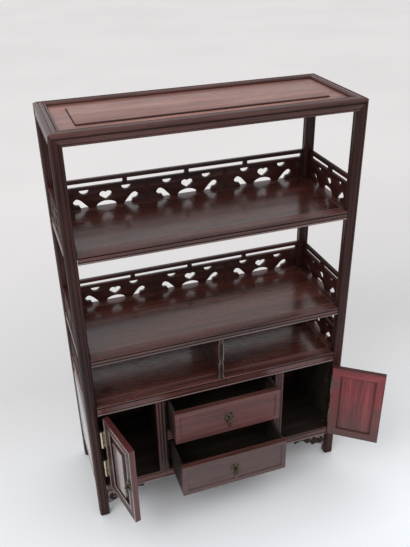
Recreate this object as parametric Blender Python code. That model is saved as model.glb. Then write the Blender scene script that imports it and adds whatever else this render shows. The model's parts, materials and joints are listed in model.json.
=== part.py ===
"""A small hardwood display shelf with a cupboard base, shown opened.

Four moulded posts carry a framed top, two open shelves and a low divided niche, each with a pierced
gallery round its back and ends. Below stand two cupboards with hinged doors and two drawers between
them. The front faces -Y, the feet stand on Z = 0, and all lengths are in metres.
"""

import math

import bmesh
import bpy
from mathutils import Vector

# Carcass
WIDTH = 0.400
DEPTH = 0.150
POST = 0.015  # side of a square post
SETBACK = 0.0015  # rails, boards and doors stand this far behind the post faces
FIT = 0.0003  # gap between neighbouring pieces

# Heights, from the floor up
LEG = 0.044
BOTTOM_RAIL = 0.016
CABINET = 0.136
CABINET_RAIL = 0.016
NICHE = 0.070
SHELF = 0.012
MIDDLE_BAY = 0.144
UPPER_BAY = 0.138
TOP = 0.016

# Mouldings
POST_BEAD = 0.003  # radius of the round post corners
POST_GROOVE = 0.0012
POST_GROOVE_DEPTH = 0.0008
REEDS = 3  # rounds side by side on the stiles and the top's rim
REED_RISE = 0.0010
RAIL_BEAD = 0.0026  # round along the upper and lower edge of a rail
RAIL_BAND = 0.0004  # the flat between those rounds lies this far behind them

# Shelves
SHELF_LAP = 0.0025  # the frames reach this far past the posts' inner faces
SHELF_LEDGE = 0.003  # seat of a shelf's panel, wide and thick

# Top
TOP_CORNER = 0.006  # radius of the rounded corners, seen from above
TOP_FRAME = 0.036  # width of a frame member
TOP_RIM = 0.015  # width of the raised, reeded rim
TOP_RIM_STEP = 0.004
TOP_LIP = 0.0010  # how far the beads stand out from the edge
TOP_LOWER_BEAD = 0.0034
TOP_UPPER_BEAD = 0.0056
TOP_LEDGE = 0.003  # seat of the panel, wide and thick
TOP_FIELD_RISE = 0.002
TOP_FIELD_CORNER = 0.004
TOP_FIELD_BEVEL = 0.0014

# Galleries
GALLERY = 0.043  # height
GALLERY_THICK = 0.005
GALLERY_SETBACK = 0.003  # from the outer faces of the posts
GALLERY_RAIL = 0.0056
GALLERY_SLOT = 0.0058
GALLERY_STRUT = 0.0065
GALLERY_END = 0.0055  # plain margin beside the posts
BACK_MODULES = 3
END_MODULES = 1
HEART_WIDTH = 0.0175
HEART_HEIGHT = 0.0126
HEART_MIDDLE = 0.0157  # height of the heart's middle above the shelf
ARCH_WIDTH = 0.029
ARCH_RISE = 0.0078
MOON_WIDTH = 0.0135
MOON_DROP = 0.0063
MOON_TOP = 0.0270
MOON_OFFSET = 0.0297
# The comma opening, from its tail on the shelf round its head and back, beside the module's middle
COMMA = (
    (0.0250, 0.0),
    (0.0300, 0.0060),
    (0.0365, 0.0128),
    (0.0420, 0.0148),
    (0.0463, 0.0105),
    (0.0435, 0.0060),
    (0.0385, 0.0048),
    (0.0360, 0.0),
)

# Niche divider
DIVIDER = 0.006
DIVIDER_EDGE = 0.009  # depth of the carved front edge
# Half widths of the carved edge at shares of its height
DIVIDER_CARVING = (
    (0.0, 0.0052),
    (0.07, 0.0046),
    (0.16, 0.0034),
    (0.27, 0.0043),
    (0.36, 0.0040),
    (0.43, 0.0027),
    (0.50, 0.0040),
    (0.66, 0.0046),
    (0.84, 0.0043),
    (0.94, 0.0030),
    (1.0, 0.0044),
)

# Cabinet
STILE = 0.0145
STILE_DEPTH = 0.012
STILE_FOOT = 0.014  # plain block below the reeds
STILE_REVEAL = 0.0045  # the drawer guides show this far inside the stiles
PARTITION = 0.008
DIVIDER_RAIL = 0.016
SIDE_PANEL = 0.006
SIDE_RECESS = 0.004
SIDE_BEVEL = 0.009
SIDE_SLOPE = 0.002
BACK_PANEL = 0.004
BACK_RECESS = 0.005

# Corner brackets under the bottom rail
BRACKET_THICK = 0.007
BRACKET_RECESS = 0.002
# Lower edge, from the leg to the tip: distance from the leg and drop below the rail
BRACKET_EDGE = (
    (0.0, 0.0185),
    (0.0050, 0.0188),
    (0.0085, 0.0168),
    (0.0120, 0.0158),
    (0.0155, 0.0145),
    (0.0200, 0.0158),
    (0.0245, 0.0142),
    (0.0275, 0.0108),
    (0.0320, 0.0112),
    (0.0365, 0.0080),
    (0.0410, 0.0040),
    (0.0450, 0.0030),
    (0.0500, 0.0044),
    (0.0560, 0.0054),
    (0.0610, 0.0030),
)
BRACKET_LENGTH = 0.064
# Scroll eyes: middle, half width, half height
BRACKET_EYES = ((0.0088, 0.0090, 0.0032, 0.0046), (0.0202, 0.0084, 0.0038, 0.0040))

# Doors
DOOR_THICK = 0.009
DOOR_GAP = 0.0012
DOOR_FRAME = 0.016
DOOR_MOULD = 0.004
DOOR_MOULD_DEPTH = 0.0020
DOOR_LIP = 0.0034
DOOR_REBATE = 0.003
DOOR_PANEL = 0.0036
DOOR_FIELD = 0.006  # bevelled margin round the back of a panel
DOOR_FIELD_SLOPE = 0.0012
DOOR_EDGE = 0.0006
LEFT_DOOR_OPEN = math.radians(76)
RIGHT_DOOR_OPEN = math.radians(143)

# Butt hinges
HINGE_GAP = 0.0026  # between post and door, with both leaves in it
HINGE_LENGTH = 0.030
HINGE_INSET = 0.025  # from the door opening's top and bottom
KNUCKLE = 0.0019
HINGE_BORE = 0.0011
HINGE_PIN = 0.0008
LEAF = 0.0008
LEAF_WIDTH = 0.012

# Drawers
DRAWER_WIDTH = 0.164
DRAWER_FRONT = 0.008
DRAWER_BORDER = 0.007
DRAWER_SINK = 0.0015
DRAWER_WALL = 0.004
DRAWER_FLOOR = 0.003
DRAWER_FLOOR_RISE = 0.002
DRAWER_WALL_DROP = 0.003  # the walls stop this far below the front's top
DRAWER_LENGTH = 0.134
SLIDE_GAP = 0.0005
DRAWER_HEADROOM = 0.0036
UPPER_DRAWER_OUT = 0.0300
LOWER_DRAWER_OUT = 0.0590

# Drop pulls
PLATE = 0.0076  # radius of the rosette
PLATE_THICK = 0.0016
PLATE_PETALS = 8
PLATE_PETAL_DEPTH = 0.0005
EYE = 0.0023
EYE_WIRE = 0.0008
EYE_SINK = 0.0005  # the eye is rooted this deep in the rosette
DROP_RING = 0.0022
DROP_WIRE = 0.0007
DROP_HANG = 0.0003  # the drop hangs this far below the middle of its eye
# Pendant sections: distance below the pivot, half width and half thickness
PENDANT = (
    (0.0038, 0.0007, 0.0007),
    (0.0060, 0.0011, 0.0009),
    (0.0080, 0.0024, 0.0011),
    (0.0106, 0.0034, 0.0012),
    (0.0132, 0.0027, 0.0011),
    (0.0152, 0.0011, 0.0008),
    (0.0166, 0.0003, 0.0003),
)
PULL_INSET = 0.008  # from a door's free edge

# Facets
BEAD_STEPS = 4
HEART_STEPS = 18
MOON_STEPS = 6
CURVE_STEPS = 2
CORNER_STEPS = 4
ROUND_STEPS = 12
RING_STEPS = 12
WIRE_STEPS = 6
PLATE_STEPS = 24

# Levels and faces that follow from the sizes above
FLOOR_TOP = LEG + BOTTOM_RAIL
CABINET_ROOF = FLOOR_TOP + CABINET
CABINET_TOP = CABINET_ROOF + CABINET_RAIL
MIDDLE_BOTTOM = CABINET_TOP + NICHE
MIDDLE_TOP = MIDDLE_BOTTOM + SHELF
UPPER_BOTTOM = MIDDLE_TOP + MIDDLE_BAY
UPPER_TOP = UPPER_BOTTOM + SHELF
TOP_BOTTOM = UPPER_TOP + UPPER_BAY
HEIGHT = TOP_BOTTOM + TOP
HALF_W = WIDTH / 2
HALF_D = DEPTH / 2
INNER_X = HALF_W - POST
INNER_Y = HALF_D - POST
FRONT_Y = -HALF_D + SETBACK  # rails, stiles, doors and shut drawers line up here
GUIDE_X = DRAWER_WIDTH / 2 + SLIDE_GAP
STILE_IN = GUIDE_X + STILE_REVEAL
STILE_OUT = STILE_IN + STILE
BACK_FACE = HALF_D - BACK_RECESS - BACK_PANEL  # front of the cabinet's back
GALLERY_FACE = HALF_D - GALLERY_SETBACK - GALLERY_THICK
DRAWER_OPENING = (CABINET - DIVIDER_RAIL) / 2
UPPER_RUNWAY = FLOOR_TOP + DRAWER_OPENING + DIVIDER_RAIL
HINGE_Y = -HALF_D - KNUCKLE - FIT
DOOR_FACE = FRONT_Y - HINGE_Y  # from the hinge axis back to the shut door's face
DOOR_NEAR = HINGE_GAP / 2  # from the hinge axis to the door's edge
DOOR_FAR = INNER_X - STILE_OUT - HINGE_GAP / 2 - DOOR_GAP
DOOR_LOW = FLOOR_TOP + DOOR_GAP
DOOR_HIGH = CABINET_ROOF - DOOR_GAP
EYE_OUT = PLATE_THICK + EYE + EYE_WIRE - EYE_SINK


def clear_scene():
    for old in list(bpy.data.objects):
        bpy.data.objects.remove(old, do_unlink=True)


def material(name, colour, roughness, metallic):
    made = bpy.data.materials.new(name)
    made.use_nodes = True
    shader = made.node_tree.nodes["Principled BSDF"]
    shader.inputs["Base Color"].default_value = (*colour, 1.0)
    shader.inputs["Roughness"].default_value = roughness
    shader.inputs["Metallic"].default_value = metallic
    made.diffuse_color = (*colour, 1.0)
    return made


def empty(name, location, parent=None, turn=0.0):
    made = bpy.data.objects.new(name, None)
    bpy.context.collection.objects.link(made)
    made.location = location
    made.rotation_euler = (0.0, 0.0, turn)
    made.parent = parent
    return made


def place(name, data, finish, parent, location=(0.0, 0.0, 0.0), turn=(0.0, 0.0, 0.0)):
    made = bpy.data.objects.new(name, data)
    bpy.context.collection.objects.link(made)
    if not data.materials:
        data.materials.append(finish)
    made.location = location
    made.rotation_euler = turn
    made.parent = parent
    return made


# Profiles and outlines


def bulge(start, end, rise, steps=BEAD_STEPS):
    """Points from start to just before end along half a wave that swells to the left by rise."""
    start = Vector(start)
    along = Vector(end) - start
    left = Vector((-along.y, along.x)).normalized()
    shares = [step / steps for step in range(steps)]
    return [start + along * t + left * rise * math.sin(math.pi * t) for t in shares]


def reeded(start, end, count, rise):
    """Points from start to just before end over a row of equal rounds."""
    start = Vector(start)
    pitch = (Vector(end) - start) / count
    points = []
    for number in range(count):
        points += bulge(start + pitch * number, start + pitch * (number + 1), rise)
    return points


def rail_edge(height):
    """A rail's edge from bottom to top, as insets and heights: a flat band between two rounds."""
    deep = REED_RISE
    low = RAIL_BEAD
    high = height - RAIL_BEAD
    band = ((deep, low), (RAIL_BAND, low + deep), (RAIL_BAND, high - deep))
    points = bulge((deep, 0.0), (deep, low), deep) + [Vector(p) for p in band]
    return points + bulge((deep, high), (deep, height), deep) + [Vector((deep, height))]


def smooth(points, steps=CURVE_STEPS):
    """Points along a smooth open curve through the given ones."""
    knots = [Vector(p) for p in points]
    knots = [2 * knots[0] - knots[1]] + knots + [2 * knots[-1] - knots[-2]]
    made = []
    for a, b, c, d in zip(knots, knots[1:], knots[2:], knots[3:]):
        for step in range(steps):
            t = step / steps
            bend = (2 * a - 5 * b + 4 * c - d) * t * t + (3 * b - a - 3 * c + d) * t * t * t
            made.append(b + ((c - a) * t + bend) / 2)
    return made + [knots[-2]]


def arc(middle, radius, start, end, steps):
    """Points on an arc, both ends included, with angles in degrees."""
    angles = [math.radians(start + (end - start) * step / steps) for step in range(steps + 1)]
    return [Vector((middle[0] + radius * math.cos(a), middle[1] + radius * math.sin(a))) for a in angles]


def circle(radius, steps=ROUND_STEPS):
    return arc((0.0, 0.0), radius, 0.0, 360.0, steps)[:-1]


def rectangle(left, low, right, high):
    return [Vector(p) for p in ((left, low), (right, low), (right, high), (left, high))]


def rounded_rectangle(half_x, half_y, radius):
    corners = ((1, 1, 0), (-1, 1, 90), (-1, -1, 180), (1, -1, 270))
    points = []
    for sx, sy, start in corners:
        middle = (sx * (half_x - radius), sy * (half_y - radius))
        points += arc(middle, radius, start, start + 90, CORNER_STEPS)
    return points


def inset(outline, distance):
    """A closed anticlockwise outline with each side moved inwards."""
    moved = []
    for before, here, after in zip(outline[-1:] + outline[:-1], outline, outline[1:] + outline[:1]):
        first = (here - before).normalized()
        second = (after - here).normalized()
        normals = Vector((-first.y, first.x)), Vector((-second.y, second.x))
        share = distance / (1.0 + normals[0].dot(normals[1]))
        moved.append(here + (normals[0] + normals[1]) * share)
    return moved


def post_outline():
    """A square with round beads at its corners and a groove beside each bead."""
    half = POST / 2
    bead = half - POST_BEAD
    face = bead - POST_GROOVE
    valley = bead - POST_GROOVE / 2
    floor = half - POST_GROOVE_DEPTH
    quarter = arc((bead, bead), POST_BEAD, 0, 90, BEAD_STEPS)
    quarter += [Vector(p) for p in ((valley, floor), (face, half), (-face, half), (-valley, floor))]
    points = []
    for turn in range(4):
        for p in quarter:
            points.append(p.copy())
        quarter = [Vector((-p.y, p.x)) for p in quarter]
    return points


# Solids


def loft(loops, ring=False):
    """A closed mesh through loops of equally many points, capped at both ends or joined into a ring."""
    built = bmesh.new()
    rows = [[built.verts.new(p) for p in loop] for loop in loops]
    pairs = list(zip(rows, rows[1:]))
    if ring:
        pairs.append((rows[-1], rows[0]))
    else:
        built.faces.new(rows[0])
        built.faces.new(rows[-1])
    count = len(rows[0])
    for low, high in pairs:
        for i in range(count):
            j = (i + 1) % count
            built.faces.new((low[i], low[j], high[j], high[i]))
    bmesh.ops.recalc_face_normals(built, faces=built.faces)
    mesh = bpy.data.meshes.new("loft")
    built.to_mesh(mesh)
    built.free()
    return mesh


def along_x(outline, x):
    return [(x, p[0], p[1]) for p in outline]


def along_y(outline, y):
    return [(p[0], y, p[1]) for p in outline]


def along_z(outline, z):
    return [(p[0], p[1], z) for p in outline]


def prism(outline, axis, start, end):
    return loft([axis(outline, start), axis(outline, end)])


def box(left, front, low, right, back, high):
    return prism(rectangle(left, front, right, back), along_z, low, high)


def moulded_slab(outline, profile, base):
    """A flat board with a moulded edge: the profile gives insets and heights above the base."""
    return loft([along_z(inset(outline, p[0]), base + p[1]) for p in profile])


def combined(base, others, operation):
    """The base mesh joined to, or cut by, each of the other meshes."""
    solid = bpy.data.objects.new("solid", base)
    tools = [bpy.data.objects.new("tool", other) for other in others]
    for made in (solid, *tools):
        bpy.context.collection.objects.link(made)
    for tool in tools:
        step = solid.modifiers.new("step", "BOOLEAN")
        step.operation = operation
        step.solver = "EXACT"
        step.object = tool
    bpy.context.view_layer.update()
    result = bpy.data.meshes.new_from_object(solid.evaluated_get(bpy.context.evaluated_depsgraph_get()))
    for made in (solid, *tools):
        bpy.data.objects.remove(made, do_unlink=True)
    return result


def sheet(name, outlines, thickness):
    """A flat board with a sawn outline and pierced openings."""
    curve = bpy.data.curves.new(name, "CURVE")
    curve.dimensions = "2D"
    curve.fill_mode = "BOTH"
    curve.extrude = thickness / 2
    for points in outlines:
        spline = curve.splines.new("POLY")
        spline.points.add(len(points) - 1)
        for knot, p in zip(spline.points, points):
            knot.co = (p[0], p[1], 0.0, 1.0)
        spline.use_cyclic_u = True
    return curve


# Pieces of the carcass


def posts(root, wood):
    outline = post_outline()
    middle_x = HALF_W - POST / 2
    middle_y = HALF_D - POST / 2
    for row, sy in (("front", -1), ("back", 1)):
        for side, sx in (("left", -1), ("right", 1)):
            mesh = prism(outline, along_z, 0.0, TOP_BOTTOM - FIT)
            place(f"post_{row}_{side}", mesh, wood, root, (sx * middle_x, sy * middle_y, 0.0))


def top(root, wood):
    reeds_low = TOP - REED_RISE
    profile = bulge((TOP_LIP, 0.0), (TOP_LIP, TOP_LOWER_BEAD), TOP_LIP)
    profile += [(TOP_LIP, TOP_LOWER_BEAD)]
    profile += bulge((TOP_LIP, TOP - TOP_UPPER_BEAD), (TOP_LIP, reeds_low), TOP_LIP)
    profile += reeded((TOP_LIP, reeds_low), (TOP_RIM, reeds_low), REEDS, REED_RISE)
    floor = TOP - TOP_RIM_STEP
    profile += [(TOP_RIM, reeds_low), (TOP_RIM, floor), (TOP_FRAME, floor), (TOP_FRAME, TOP_LEDGE)]
    profile += [(TOP_FRAME + TOP_LEDGE, TOP_LEDGE), (TOP_FRAME + TOP_LEDGE, 0.0)]
    loops = []
    for share, height in profile:
        radius = max(TOP_CORNER - share, FIT)
        outline = rounded_rectangle(HALF_W - share, HALF_D - share, radius)
        loops.append(along_z(outline, TOP_BOTTOM + height))
    place("top_frame", loft(loops, ring=True), wood, root)

    edge = TOP_FRAME + FIT
    outline = rounded_rectangle(HALF_W - edge, HALF_D - edge, TOP_FIELD_CORNER)
    base = TOP_LEDGE + FIT
    crown = floor + TOP_FIELD_RISE
    profile = [(0.0, base), (0.0, crown - TOP_FIELD_BEVEL), (TOP_FIELD_BEVEL, crown)]
    place("top_panel", moulded_slab(outline, profile, TOP_BOTTOM), wood, root)


def board_outline():
    """A board notched round the four posts, whose edges show between them."""
    end_x = HALF_W - SETBACK
    end_y = HALF_D - SETBACK
    near_x = INNER_X - FIT
    near_y = INNER_Y - FIT
    right = [(near_x, -end_y), (near_x, -near_y), (end_x, -near_y)]
    right += [(x, -y) for x, y in reversed(right)]
    return [Vector(p) for p in right + [(-x, y) for x, y in reversed(right)]]


def shelf(name, bottom, root, wood):
    """A shelf of a moulded frame and a panel that lies on the frame's ledge."""
    high = bottom + SHELF
    seat = bottom + SHELF_LEDGE
    half_x = INNER_X - SHELF_LAP
    half_y = INNER_Y - SHELF_LAP
    well = box(-half_x, -half_y, seat, half_x, half_y, high + FIT)
    hole_x = half_x - SHELF_LEDGE
    hole_y = half_y - SHELF_LEDGE
    hole = box(-hole_x, -hole_y, bottom - FIT, hole_x, hole_y, seat + FIT)
    slab = moulded_slab(board_outline(), rail_edge(SHELF), bottom)
    place(f"{name}_frame", combined(slab, [well, hole], "DIFFERENCE"), wood, root)
    panel_x = half_x - FIT
    panel_y = half_y - FIT
    place(f"{name}_panel", box(-panel_x, -panel_y, seat + FIT, panel_x, panel_y, high), wood, root)


def cabinet_boards(root, wood):
    outline = board_outline()
    place("cabinet_top", moulded_slab(outline, rail_edge(CABINET_RAIL), CABINET_ROOF), wood, root)
    place("cabinet_floor", moulded_slab(outline, rail_edge(BOTTOM_RAIL), LEG), wood, root)


# Pierced galleries


def heart(middle):
    """A heart with its point down."""
    points = []
    for step in range(HEART_STEPS):
        t = 2 * math.pi * step / HEART_STEPS
        across = math.sin(t) ** 3
        up = (13 * math.cos(t) - 5 * math.cos(2 * t) - 2 * math.cos(3 * t) - math.cos(4 * t) + 2.5) / 29
        points.append(Vector((middle + across * HEART_WIDTH / 2, HEART_MIDDLE + up * HEART_HEIGHT)))
    return points


def half_moon(middle):
    """A half oval with its flat side up."""
    angles = [math.pi * (1 + step / MOON_STEPS) for step in range(MOON_STEPS + 1)]
    half = MOON_WIDTH / 2
    return [Vector((middle + half * math.cos(a), MOON_TOP + MOON_DROP * math.sin(a))) for a in angles]


def module_foot(middle):
    """The lower edge of one module, from left to right: a comma opening, an arch and a comma opening."""
    right = smooth(COMMA)
    left = [Vector((-p.x, p.y)) for p in reversed(right)]
    steps = MOON_STEPS
    angles = [math.pi * (1 - step / steps) for step in range(steps + 1)]
    arch = [Vector((ARCH_WIDTH / 2 * math.cos(a), ARCH_RISE * math.sin(a))) for a in angles]
    return [Vector((middle + p.x, p.y)) for p in left + arch + right]


def gallery_outlines(length, modules):
    """Outer edge and openings of a gallery, with its middle at 0 and its foot at height 0."""
    half = length / 2
    span = length - 2 * GALLERY_END
    middles = [span * ((number + 0.5) / modules - 0.5) for number in range(modules)]
    outer = [Vector((-half, 0.0))]
    for middle in middles:
        outer += module_foot(middle)
    outer += [Vector((half, 0.0)), Vector((half, GALLERY)), Vector((-half, GALLERY))]
    outlines = [outer]
    for middle in middles:
        outlines.append(heart(middle))
        outlines += [half_moon(middle - MOON_OFFSET), half_moon(middle + MOON_OFFSET)]
    slots = modules + 1
    pitch = (length - GALLERY_STRUT) / slots
    high = GALLERY - GALLERY_RAIL
    for number in range(slots):
        left = -half + GALLERY_STRUT / 2 + pitch * number
        reach = left + pitch
        start = left if number == 0 else left + GALLERY_STRUT / 2
        end = reach if number == slots - 1 else reach - GALLERY_STRUT / 2
        outlines.append(rectangle(start, high - GALLERY_SLOT, end, high))
    return outlines


def galleries(root, wood):
    upright = math.radians(90)
    back = gallery_outlines(2 * (INNER_X - FIT), BACK_MODULES)
    end = gallery_outlines(2 * (INNER_Y - FIT), END_MODULES)
    back_y = GALLERY_FACE + GALLERY_THICK / 2
    end_x = HALF_W - GALLERY_SETBACK - GALLERY_THICK / 2
    for level, shelf_top in (("upper", UPPER_TOP), ("middle", MIDDLE_TOP), ("lower", CABINET_TOP)):
        foot = shelf_top + FIT
        name = f"{level}_gallery_back"
        place(name, sheet(name, back, GALLERY_THICK), wood, root, (0.0, back_y, foot), (upright, 0.0, 0.0))
        for side, sx in (("left", -1), ("right", 1)):
            name = f"{level}_gallery_{side}"
            data = sheet(name, end, GALLERY_THICK)
            place(name, data, wood, root, (sx * end_x, 0.0, foot), (upright, 0.0, upright))


def niche_divider(root, wood):
    """An upright board with a carved front edge, between the cabinet top and the middle shelf."""
    low = CABINET_TOP + FIT
    tall = NICHE - 2 * FIT
    carving = smooth(DIVIDER_CARVING)
    right = [Vector((p.y, low + p.x * tall)) for p in carving]
    carved = right + [Vector((-p.x, p.y)) for p in reversed(right)]
    plain = [Vector((math.copysign(DIVIDER / 2, p.x), p.y)) for p in carved]
    edge = FRONT_Y + DIVIDER_EDGE
    back = GALLERY_FACE - FIT
    sections = ((carved, FRONT_Y), (carved, edge), (plain, edge + FIT), (plain, back))
    place("niche_divider", loft([along_y(outline, y) for outline, y in sections]), wood, root)


# The cabinet


def partitions(root, wood):
    """Uprights between cupboards and drawers: a reeded stile in front and a guide board behind it."""
    low = FLOOR_TOP + FIT
    high = CABINET_ROOF - FIT
    step = FRONT_Y + STILE_DEPTH
    back = BACK_FACE - FIT
    behind = [(STILE_OUT, FRONT_Y + REED_RISE), (STILE_OUT, step), (GUIDE_X + PARTITION, step)]
    behind += [(GUIDE_X + PARTITION, back), (GUIDE_X, back), (GUIDE_X, step), (STILE_IN, step)]
    behind = [Vector(p) for p in behind]
    # The rounds swell towards -Y, which is the right-hand side of a walk towards +X
    face = reeded((STILE_IN, FRONT_Y + REED_RISE), (STILE_OUT, FRONT_Y + REED_RISE), REEDS, -REED_RISE)
    reeds = face + behind
    plain = [Vector((p.x, FRONT_Y)) for p in face] + [Vector((STILE_OUT, FRONT_Y))] + behind[1:]
    foot = low + STILE_FOOT
    sections = ((plain, low), (plain, foot), (reeds, foot + REED_RISE), (reeds, high))
    for side, sx in (("left", -1), ("right", 1)):
        loops = [[(sx * p.x, p.y, z) for p in outline] for outline, z in sections]
        place(f"cabinet_partition_{side}", loft(loops), wood, root)


def drawer_divider(root, wood):
    """A moulded rail between the stiles with the upper drawer's runway behind it."""
    rail_x = STILE_IN - FIT
    board_x = GUIDE_X - FIT
    step = FRONT_Y + STILE_DEPTH - FIT
    back = BACK_FACE - FIT
    right = [(rail_x, FRONT_Y), (rail_x, step), (board_x, step), (board_x, back)]
    outline = [Vector(p) for p in right + [(-x, y) for x, y in reversed(right)]]
    base = FLOOR_TOP + DRAWER_OPENING
    place("drawer_divider", moulded_slab(outline, rail_edge(DIVIDER_RAIL), base), wood, root)


def cabinet_panels(root, wood):
    low = FLOOR_TOP + FIT
    high = CABINET_ROOF - FIT
    outline = rectangle(-INNER_Y + FIT, low, INNER_Y - FIT, high)
    profile = ((0.0, SIDE_PANEL), (0.0, SIDE_SLOPE), (SIDE_BEVEL, 0.0))
    outer = HALF_W - SIDE_RECESS
    for side, sx in (("left", -1), ("right", 1)):
        loops = [along_x(inset(outline, edge), sx * (outer - depth)) for edge, depth in profile]
        place(f"cabinet_side_{side}", loft(loops), wood, root)
    half = INNER_X - FIT
    place("cabinet_back", box(-half, BACK_FACE, low, half, BACK_FACE + BACK_PANEL, high), wood, root)


def brackets(root, wood):
    """Scroll brackets in the corners between the front legs and the bottom rail."""
    edge = [Vector((p.x, -p.y)) for p in smooth(BRACKET_EDGE)]
    outer = edge + [Vector((BRACKET_LENGTH, 0.0)), Vector((0.0, 0.0))]
    eyes = []
    for across, down, half_width, half_height in BRACKET_EYES:
        eyes.append([Vector((across + p.x * half_width, -down + p.y * half_height)) for p in circle(1.0)])
    middle = FRONT_Y + BRACKET_RECESS + BRACKET_THICK / 2
    for side, sx in (("left", -1), ("right", 1)):
        outlines = [[Vector((-sx * p.x, p.y)) for p in outline] for outline in [outer, *eyes]]
        name = f"corner_bracket_{side}"
        corner = (sx * (INNER_X - FIT), middle, LEG - FIT)
        place(name, sheet(name, outlines, BRACKET_THICK), wood, root, corner, (math.radians(90), 0.0, 0.0))


# Pulls, with their back on y = 0 and their face towards -Y


def ring_mesh(radius, wire, axes, middle):
    """A round ring of wire in the plane of two axes."""
    first, second = (Vector(axis) for axis in axes)
    through = first.cross(second)
    loops = []
    for p in circle(1.0, RING_STEPS):
        out = first * p.x + second * p.y
        start = Vector(middle) + out * radius
        loops.append([start + (out * q.x + through * q.y) * wire for q in circle(1.0, WIRE_STEPS)])
    return loft(loops, ring=True)


def plate_mesh():
    """A petalled rosette with an eye rooted in its middle."""
    rows = ((1.0, 0.0), (1.0, 0.4), (0.82, 0.75), (0.45, 1.0))
    loops = []
    for share, height in rows:
        loop = []
        for p in circle(1.0, PLATE_STEPS):
            wave = math.cos(PLATE_PETALS * math.atan2(p.y, p.x))
            radius = share * (PLATE - PLATE_PETAL_DEPTH * (1.0 - wave) / 2)
            loop.append((p.x * radius, -height * PLATE_THICK, p.y * radius))
        loops.append(loop)
    eye = ring_mesh(EYE, EYE_WIRE, ((0, 1, 0), (0, 0, 1)), (0.0, -EYE_OUT, 0.0))
    return combined(loft(loops), [eye], "UNION")


def drop_mesh():
    """A ring with a flat pendant below it, hung from the origin."""
    loops = []
    for below, half_width, half_thick in PENDANT:
        loops.append([(p.x * half_width, p.y * half_thick, -below) for p in circle(1.0)])
    ring = ring_mesh(DROP_RING, DROP_WIRE, ((1, 0, 0), (0, 0, 1)), (0.0, 0.0, -DROP_RING))
    return combined(ring, [loft(loops)], "UNION")


def pull(owner, parent, seat, bronze):
    """A rosette on a face at the seat, and the drop that swings in its eye."""
    base = Vector(seat) + Vector((0.0, -FIT, 0.0))
    place(f"{owner}_pull_plate", plate_mesh(), bronze, parent, base)
    pivot = base + Vector((0.0, -EYE_OUT, -DROP_HANG))
    place(f"{owner}_pull_drop", drop_mesh(), bronze, parent, pivot)


# Doors, built shut round their hinge axis


def knuckle_mesh(left, right, root, low, high):
    """A knuckle from low to high, with a tab between left and right that reaches back to the leaf."""
    start = math.degrees(math.acos(right / KNUCKLE))
    end = math.degrees(math.acos(left / KNUCKLE))
    outline = arc((0.0, 0.0), KNUCKLE, end, start + 360, ROUND_STEPS)
    outline += [Vector((right, root)), Vector((left, root))]
    return prism(outline, along_z, low, high)


def hinge_meshes():
    """Fixed and moving leaves of a butt hinge, with the axis on Z; the fixed leaf lies towards -X."""
    far = HINGE_GAP / 2 - FIT
    near = far - LEAF
    half = HINGE_LENGTH / 2
    third = HINGE_LENGTH / 6
    leaf_start = KNUCKLE + FIT
    root = leaf_start + LEAF
    plate = box(near, leaf_start, -half, far, LEAF_WIDTH, half)
    moving = combined(plate, [knuckle_mesh(near, far, root, -third + FIT / 2, third - FIT / 2)], "UNION")
    bore = prism(circle(HINGE_BORE), along_z, -half, half)
    moving = combined(moving, [bore], "DIFFERENCE")
    plate = box(-far, leaf_start, -half, -near, LEAF_WIDTH, half)
    knuckles = [knuckle_mesh(-far, -near, root, -half, -third - FIT / 2)]
    knuckles.append(knuckle_mesh(-far, -near, root, third + FIT / 2, half))
    knuckles.append(prism(circle(HINGE_PIN), along_z, -third - FIT, third + FIT))
    return combined(plate, knuckles, "UNION"), moving


def door_frame_mesh(outline):
    """Four moulded members round a panel, rebated at the back."""
    face = DOOR_FRAME - DOOR_MOULD
    profile = [(0.0, DOOR_THICK), (0.0, DOOR_EDGE), (DOOR_EDGE, 0.0), (face, 0.0)]
    # The moulding swells out of the door, which is the right-hand side of its way in
    profile += bulge((face, DOOR_EDGE), (DOOR_FRAME, DOOR_MOULD_DEPTH), -DOOR_EDGE)
    profile += [(DOOR_FRAME, DOOR_MOULD_DEPTH), (DOOR_FRAME, DOOR_LIP)]
    profile += [(DOOR_FRAME - DOOR_REBATE, DOOR_LIP), (DOOR_FRAME - DOOR_REBATE, DOOR_THICK)]
    return loft([along_y(inset(outline, edge), DOOR_FACE + depth) for edge, depth in profile], ring=True)


def door(name, sx, opened, root, wood, brass, bronze):
    pivot = empty(f"{name}_axis", (sx * (INNER_X - DOOR_NEAR), HINGE_Y, 0.0), root, sx * opened)
    ends = sorted((-sx * DOOR_NEAR, -sx * DOOR_FAR))
    outline = rectangle(ends[0], DOOR_LOW, ends[1], DOOR_HIGH)
    place(f"{name}_frame", door_frame_mesh(outline), wood, pivot)
    edge = inset(outline, DOOR_FRAME - DOOR_REBATE + FIT)
    front = DOOR_FACE + DOOR_LIP + FIT
    profile = ((0.0, 0.0), (0.0, DOOR_PANEL - DOOR_FIELD_SLOPE), (DOOR_FIELD, DOOR_PANEL))
    panel = loft([along_y(inset(edge, margin), front + depth) for margin, depth in profile])
    place(f"{name}_panel", panel, wood, pivot)
    middle = (DOOR_LOW + DOOR_HIGH) / 2
    pull(name, pivot, (-sx * (DOOR_FAR - PULL_INSET), DOOR_FACE, middle), bronze)

    # The hinge is alike above and below its middle, so half a turn about Y makes the other hand
    hand = (0.0, math.pi, 0.0) if sx > 0 else (0.0, 0.0, 0.0)
    reach = HINGE_INSET + HINGE_LENGTH / 2
    for which, height in (("upper", CABINET_ROOF - reach), ("lower", FLOOR_TOP + reach)):
        fixed, moving = hinge_meshes()
        axis = (pivot.location.x, HINGE_Y, height)
        place(f"{name}_{which}_hinge_fixed_leaf", fixed, brass, root, axis, hand)
        place(f"{name}_{which}_hinge_moving_leaf", moving, brass, pivot, (0.0, 0.0, height), hand)


# Drawers, built shut


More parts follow.
